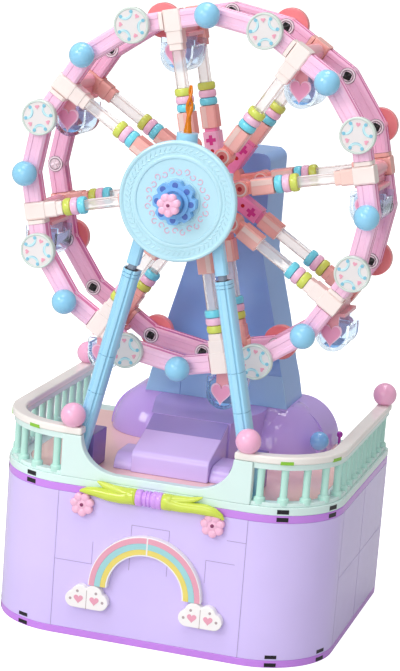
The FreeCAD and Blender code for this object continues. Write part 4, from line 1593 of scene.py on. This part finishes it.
@dataclass
class RimOrnaments:
    """Tiles with scrolls, balls and rear discs at the rim's corners."""

    wheel: Wheel = field(default_factory=Wheel)
    plate: Tuple[Flat, ...] = (
        (0, 0), (6.9, 0), (7.3, 0.4), (7.3, 2.9), (7.0, 3.2), (6.6, 3.2), (6.3, 2.8), (0, 2.8))
    printed: Tuple[Flat, ...] = ((0, 2.6), (6.35, 2.6), (6.3, 2.86), (0, 2.9))
    face: float = 2.9
    heart_reach: float = 4.4
    tile_turns: Tuple[float, ...] = (210.0, 170.0, 180.0, 192.0, 185.0, 173.0, 200.0, 169.0)

    def tile_spots(self) -> List[Point]:
        """Return the middles of the tiles' backs."""
        return [self.wheel.spot(self.wheel.rim, self.wheel.angle(i) + self.wheel.half_side, self.wheel.front)
                for i in range(self.wheel.count)]

    def tiles(self) -> Mould:
        """Return the round tiles with a raised edge.

        Returns:
            The shapes, in millimetres.
        """
        tiles = Mould()
        for spot in self.tile_spots():
            for profile, tone in ((self.plate, Tone.TILE_EDGE), (self.printed, Tone.TILE)):
                tiles.lathe(profile, spot, FRONTWARD, Finish(tone), 40)
        return tiles

    def arch(self, rise: float, count: int = 12) -> List[Point]:
        """Return a C-shaped line that opens to the edge of its tile."""
        turns = [math.pi * (1.0 + step / count) for step in range(count + 1)]
        return [(2.4 * math.cos(a), 0.0, 4.9 + (2.0 + rise) * math.sin(a)) for a in turns]

    def scroll(self) -> Mould:
        """Return the pale band of one scroll.

        Returns:
            The shapes, in millimetres.
        """
        scroll = Mould()
        path = self.arch(-0.25)
        scroll.tube(path, [0.52] * len(path), Finish(Tone.SCROLL_PALE), 6, (0.0, 1.0, 0.0), 0.4)
        return scroll

    def scroll_line(self) -> Mould:
        """Return the line along a scroll, with a dot at each end.

        Returns:
            The shapes, in millimetres.
        """
        line = Mould()
        path = self.arch(0.1)
        line.tube(path, [0.2] * len(path), Finish(Tone.SCROLL), 6)
        for end in (path[0], path[-1]):
            line.disc(0.72, -0.24, 0.2, end[0], end[2], Finish(Tone.SCROLL), 0.05, 12)
        return line

    def build(self, work: Workshop) -> None:
        """Make the ornaments of the rim.

        Args:
            work: The workshop that makes the pieces.
        """
        work.cast("round_tiles", self.tiles(), "wheel", ["rim_tiles"], 0.0)
        scrolls, dots = [], []
        for (x, y, z), start in zip(self.tile_spots(), self.tile_turns):
            face = y - self.face
            for third in range(3):
                turn = math.radians(120 * third + start)
                scrolls.append(((x, face, z), (0.0, turn, 0.0)))
                a = turn + math.radians(60)
                spot = (x + self.heart_reach * math.sin(a), face, z + self.heart_reach * math.cos(a))
                dots.append((spot, (0.0, turn + math.pi / 3, 0.0)))
        dot = Mould()
        dot.prism(heart(1.9, 0, 0, 16), -0.2, 0.1, Finish(Tone.RAIN_PINK))
        for name, mould, spots, tone in (("tile_scrolls", self.scroll(), scrolls, Tone.SCROLL_PALE),
                                         ("tile_scroll_lines", self.scroll_line(), scrolls, Tone.SCROLL),
                                         ("tile_hearts", dot, dots, Tone.RAIN_PINK)):
            work.repeat(name, mould, spots, Finish(tone), "wheel")
        work.polish("blue_rim_balls", "rim_balls", Finish(Tone.BALL_BLUE, Gloss.POLISHED), "wheel",
                    0.0)
        work.polish("coral_rear_discs", "rim_discs", Finish(Tone.DISC), "wheel", 0.3)


@dataclass
class HubDish:
    """The pale dish at the front of the hub, its rosette and flower."""

    hub: float = 184.0
    back: float = -54.5
    profile: Tuple[Flat, ...] = (
        (0, 0), (23.3, 0), (24.0, 0.6), (24.0, 2.3), (23.7, 2.8), (23.1, 3.0), (22.5, 2.8), (22.2, 2.45),
        (18.5, 2.45), (18.2, 2.8), (17.9, 2.9), (17.3, 2.9), (17.0, 2.8), (16.7, 2.4), (9.6, 2.4), (9.4, 3.0),
        (0, 3.0))
    rope_rows: Tuple[Tuple[float, int], ...] = ((20.9, 60), (19.5, 56))
    curls: int = 24
    hollows: float = 6.9
    rosette_back: float = -57.5
    rosette_front: float = -62.3
    stem_front: float = -66.3

    def spot(self, angle: float, reach: float, proud: float) -> Point:
        """Return a point before the dish's back, its angle measured from straight up."""
        return reach * math.sin(angle), self.back - proud, self.hub + reach * math.cos(angle)

    def dish(self) -> Mould:
        """Return the turned dish.

        Returns:
            The shapes, in millimetres.
        """
        dish = Mould()
        dish.lathe(self.profile, (0, self.back, self.hub), FRONTWARD, Finish(Tone.DISH), 96)
        return dish

    def dash(self) -> Mould:
        """Return one twist of the embossed rope.

        Returns:
            The shapes, in millimetres.
        """
        dash = Mould()
        dash.tube([(-0.8, 0, -0.6), (0, -0.05, 0), (0.8, 0, 0.6)], (0.16, 0.26, 0.16), Finish(Tone.DISH), 8)
        return dash

    def curl(self) -> Mould:
        """Return one printed curl of the inner ring.

        Returns:
            The shapes, in millimetres.
        """
        curl = Mould()
        path = []
        for degrees in range(-30, 271, 25):
            reach, a = 1.15 * (1 - degrees / 900), math.radians(degrees)
            path.append((reach * math.cos(a), 0.0, reach * math.sin(a)))
        curl.tube(path, [0.2] * len(path), Finish(Tone.DISH_PRINT), 6)
        return curl

    def rosette(self) -> Mould:
        """Return the notched rosette with its stem.

        Returns:
            The shapes, in millimetres.
        """
        rosette = Mould()
        blue, face = Finish(Tone.ROSETTE), self.rosette_front + 1.0
        outline = []
        for step in range(96):
            a = 2 * math.pi * step / 96
            reach = 8.8 - 1.4 * max(0.0, math.cos(8 * (a - math.radians(22.5)))) ** 2
            outline.append((reach * math.cos(a), self.hub + reach * math.sin(a)))
        rosette.prism(outline, face, self.rosette_back, blue)
        rosette.lathe([(4.9, 0), (6.0, 0), (6.2, 1.0), (4.7, 1.0)], (0, face, self.hub), FRONTWARD, blue, 40)
        for index in range(8):
            a = math.radians(45 * index)
            rosette.disc(1.25, face - 0.1, self.rosette_back, self.hollows * math.cos(a),
                         self.hub + self.hollows * math.sin(a), Finish(Tone.HOLLOW), 0.1, 16)
        rosette.disc(4.0, self.stem_front, self.rosette_back, 0, self.hub, blue, 0.3, 32)
        return rosette

    def build(self, work: Workshop) -> None:
        """Make the hub's front pieces.

        Args:
            work: The workshop that makes the pieces.
        """
        work.cast("turned_dish", self.dish(), "wheel", ["hub_dish"], 0.0)
        rope, curls = [], []
        for row, (reach, count) in enumerate(self.rope_rows):
            for index in range(count):
                a = 2 * math.pi * (index + 0.5 * row) / count
                rope.append((self.spot(a, reach, 2.45), (0.0, a + (0.9 if row else -0.2), 0.0)))
        for index in range(self.curls):
            a, odd = 2 * math.pi * index / self.curls, index % 2
            spot = self.spot(a, 11.6 + (0.8 if odd else 0.0), 2.42)
            curls.append((spot, (0.0, a + (1.2 if odd else 2.6), 0.0)))
        work.repeat("dish_rope", self.dash(), rope, Finish(Tone.DISH), "wheel")
        work.repeat("dish_curls", self.curl(), curls, Finish(Tone.DISH_PRINT), "wheel")
        work.cast("notched_rosette", self.rosette(), "wheel", ["hub_rosette"], 0.3)
        flower = Mould()
        blossom(flower, (0, self.stem_front, self.hub), 4.7, 7, 2.95)
        work.cast("hub_blossom", flower, "wheel", ["hub_flower"], 0.0, 50.0)


@dataclass
class Beads:
    """Three sliding beads on each rod of the eight spokes."""

    wheel: Wheel = field(default_factory=Wheel)
    long: float = 3.2
    play: float = 0.15
    radius: float = 3.7
    bore: float = 2.46
    order: Tuple[Tone, ...] = (Tone.CYAN, Tone.BEAD_PINK, Tone.LIME)
    outside: Tuple[int, ...] = (3, 4, 5, 6)

    def rings(self, index: int) -> Mould:
        """Return the six beads of one spoke at rest.

        Args:
            index: Number of the spoke.

        Returns:
            The shapes, in millimetres.
        """
        wheel, out = self.wheel, self.radius
        rest = wheel.root_end + self.play
        if index in self.outside:
            rest = wheel.rod_end - 3 * self.long - self.play
        profile = [(self.bore, 0.05), (out - 0.7, 0.05), (out - 0.25, 0.25), (out, 0.9), (out, 2.3),
                   (out - 0.25, 2.95), (out - 0.7, 3.15), (self.bore, 3.15)]
        beads, turned = Mould(), Mould()
        for y0 in wheel.rims():
            for number, tone in enumerate(self.order):
                spot = (rest + number * self.long, y0 + 0.5 * wheel.beam, 0)
                beads.lathe(profile, spot, (1, 0, 0), Finish(tone), 28)
        turned.take(beads, wheel.turn(index))
        return turned

    def build(self, work: Workshop) -> None:
        """Make the eight bead sets.

        Args:
            work: The workshop that makes the pieces.
        """
        for index in range(self.wheel.count):
            number = index + 1
            work.cast("bead_rings_%d" % number, self.rings(index), "bead_set_%d" % number,
                      ["beads_%d" % number], 0.0)


@dataclass
class Gondolas:
    """Eight hanging cabins: a rose hanger with hearts and a clear tub."""

    wheel: Wheel = field(default_factory=Wheel)
    y: float = -13.1
    end: float = 10.6
    tab: float = 9.25
    heart_x: float = 8.8
    heart_z: float = -14.0
    bend: float = -14.5

    def heart_plate(self, part: float) -> List[Flat]:
        """Return the tall heart outline, scaled about its middle."""
        tall = [(x, 1.18 * z) for x, z in heart(part * self.heart_x, 0, 0, 48)]
        return [(x, z + self.heart_z - 0.4 * (1 - part)) for x, z in tall]

    def hanger(self) -> Mould:
        """Return the hanger around its pivot.

        Returns:
            The shapes, in millimetres.
        """
        hanger = Mould()
        rose = Finish(Tone.HANGER)
        tube = [(1.68, -self.end), (3.1, -self.end), (3.4, -self.end + 0.3), (3.4, self.end - 0.3),
                (3.1, self.end), (1.68, self.end)]
        hanger.lathe(tube, ORIGIN, REARWARD, rose, 28)
        hanger.box((-2.4, 0.4 - self.end, -7.0), (2.4, self.end - 0.4, -1.9), rose)
        hanger.box((-5.0, 0.2 - self.end, -6.6), (5.0, self.end - 0.2, -5.2), rose)
        for sign in (-1, 1):
            low, high = sorted((sign * self.tab, sign * self.end))
            hanger.box((-2.6, low, -13.0), (2.6, high, -5.3), rose)
            for part, inner, outer, tone in ((1.0, -0.4, 0.7, Tone.HEART_EDGE), (0.86, 0.0, 0.8, Tone.HEART)):
                low, high = sorted((sign * (self.end + inner), sign * (self.end + outer)))
                hanger.prism(self.heart_plate(part), low, high, Finish(tone))
        return hanger

    def seat(self) -> Mould:
        """Return the blue seat at the bottom of the clear tub.

        Returns:
            The shapes, in millimetres.
        """
        seat = Mould()
        seat.prism(arc(0, self.bend, 5.5, 5.6, 232, 308, 12), -7.6, 7.6, Finish(Tone.CABIN_FLOOR))
        return seat

    def build(self, work: Workshop) -> None:
        """Make the eight gondolas.

        Args:
            work: The workshop that makes the pieces.
        """
        for index in range(self.wheel.count):
            number = index + 1
            body = "gondola_%d" % number
            x, _, z = self.wheel.spot(self.wheel.middle(), self.wheel.angle(index), 0)
            place = Matrix.Translation((x, self.y, z))
            hanger, seat = Mould(), Mould()
            hanger.take(self.hanger(), place)
            seat.take(self.seat(), place)
            work.cast("rose_hanger_%d" % number, hanger, body, ["gondola_hanger_%d" % number],
                      0.2)
            work.polish("clear_tub_%d" % number, "gondola_cabin_%d" % number,
                        Finish(Tone.CABIN, Gloss.CLEAR), body)
            work.cast("blue_seat_%d" % number, seat, body, ease=0.0)


@dataclass
class Drive:
    """Axle, idler, crank and knob."""

    ease: float = 0.15
    knob_ease: float = 0.5

    def build(self, work: Workshop) -> None:
        """Make the drive pieces.

        Args:
            work: The workshop that makes the pieces.
        """
        for name, node, finish, body, slot, ease in (
                ("grey_axle", "wheel_axle", Finish(Tone.AXLE, Gloss.SATIN), "wheel", "axle_grey", self.ease),
                ("grey_idler", "idler_gear", Finish(Tone.GEAR, Gloss.SATIN), "idler", "gear_grey", self.ease),
                ("lilac_crank", "crank", Finish(Tone.CRANK), "crank", "crank_purple", self.ease),
                ("pink_knob", "crank_knob", Finish(Tone.BALL_PINK, Gloss.POLISHED), "knob", "ball_pink",
                 self.knob_ease)):
            work.polish(name, node, finish, body, ease)


@dataclass
class Studio:
    """Pale floor, even surround, soft lights and the camera."""

    focal: float = 117.08
    sensor: float = 36.0
    place: Point = (240.35, -866.44, 316.16)
    azimuth: float = 15.657
    elevation: float = 12.350
    roll: float = 4.433
    floor: float = 9000.0
    sky: float = 0.4
    glow: float = 0.1
    seen_glow: float = 0.9
    aim: Point = (0, 0, 0.12)
    lights: Tuple[Tuple[str, Point, float, float], ...] = (
        ("key_light", (-0.92, -1.3, 1.0), 0.6, 9.5), ("front_light", (-0.15, -1.6, 0.6), 0.9, 7.0),
        ("top_light", (-0.1, -0.8, 2.0), 1.0, 12.0), ("rim_light", (-0.05, 0.3, 1.5), 0.6, 6.5))

    def camera(self) -> None:
        """Place the camera."""
        data = bpy.data.cameras.new("studio_camera")
        data.lens = self.focal
        data.sensor_width = self.sensor
        data.sensor_fit = "AUTO"
        data.clip_start, data.clip_end = 0.01, 50.0
        thing = placed("studio_camera", data)
        az, el, roll = (math.radians(v) for v in (self.azimuth, self.elevation, self.roll))
        back = Vector((math.sin(az) * math.cos(el), -math.cos(az) * math.cos(el), math.sin(el)))
        level = Vector((math.cos(az), math.sin(az), 0.0))
        upright = back.cross(level)
        right = level * math.cos(roll) + upright * math.sin(roll)
        up = upright * math.cos(roll) - level * math.sin(roll)
        turn = Matrix((right, up, back)).transposed().to_4x4()
        thing.matrix_world = Matrix.Translation(Vector(self.place) * MM) @ turn
        bpy.context.scene.camera = thing

    def light(self, name: str, spot: Point, size: float, power: float) -> None:
        """Place an area light that looks at the wheel's middle.

        Args:
            name: Its name.
            spot: Its place in metres.
            size: Its size in metres.
            power: Its power in watts.
        """
        data = bpy.data.lights.new(name, "AREA")
        data.size = size
        data.energy = power
        thing = placed(name, data)
        aim = Vector(self.aim) - Vector(spot)
        thing.rotation_euler = aim.to_track_quat("-Z", "Y").to_euler()
        thing.location = spot

    def bright(self, tree: bpy.types.NodeTree, socket: bpy.types.NodeSocket, lit: float, seen: float) -> None:
        """Set one strength for the light that is given and one for how white it looks.

        Args:
            tree: The tree of the world or the floor.
            socket: The strength that is set.
            lit: The strength that lights the scene.
            seen: The strength that is seen, also through clear parts.
        """
        path = add(tree, "ShaderNodeLightPath")
        either = add(tree, "ShaderNodeMath")
        either.operation = "MAXIMUM"
        span = add(tree, "ShaderNodeMapRange", To_Min=lit, To_Max=seen)
        tree.links.new(path.outputs["Is Camera Ray"], either.inputs[0])
        tree.links.new(path.outputs["Is Transmission Ray"], either.inputs[1])
        wire(tree, (either, "Value", span, "Value"))
        tree.links.new(span.outputs["Result"], socket)

    def world(self) -> None:
        """Surround the scene with even white light."""
        world = bpy.data.worlds.new("white_studio")
        world.use_nodes = True
        backdrop = world.node_tree.nodes["Background"]
        settle(backdrop, {"Color": WHITE_LIGHT})
        self.bright(world.node_tree, backdrop.inputs["Strength"], self.sky, 1.0)
        bpy.context.scene.world = world
        bpy.context.scene.view_settings.view_transform = "Standard"

    def ground(self) -> None:
        """Lay the plain pale floor."""
        mesh = bpy.data.meshes.new("studio_floor")
        reach = self.floor * MM
        corners = [(-reach, -reach, 0), (reach, -reach, 0), (reach, reach, 0), (-reach, reach, 0)]
        mesh.from_pydata(corners, [], [(0, 1, 2, 3)])
        material = bpy.data.materials.new("pale_floor")
        material.use_nodes = True
        shader = material.node_tree.nodes["Principled BSDF"]
        settle(shader, {"Base Color": PALE_GREY, "Roughness": 0.7, "Emission Color": WHITE_LIGHT})
        self.bright(material.node_tree, shader.inputs["Emission Strength"], self.glow, self.seen_glow)
        mesh.materials.append(material)
        placed("studio_floor", mesh)

    def build(self) -> None:
        """Build the studio."""
        self.camera()
        self.world()
        self.ground()
        for name, spot, size, power in self.lights:
            self.light(name, spot, size, power)


def main() -> None:
    """Build the whole scene."""
    logging.basicConfig(level=logging.INFO, format="%(message)s")
    Studio().build()
    work = Workshop()
    parts = (BaseBox(), Railing(), FrontOrnaments(), DeckScene(), Tower(), FrontSupport(), Spokes(), Rims(),
             RimOrnaments(), HubDish(), Beads(), Gondolas(), Drive())
    for part in parts:
        part.build(work)


if __name__ == "__main__":
    main()
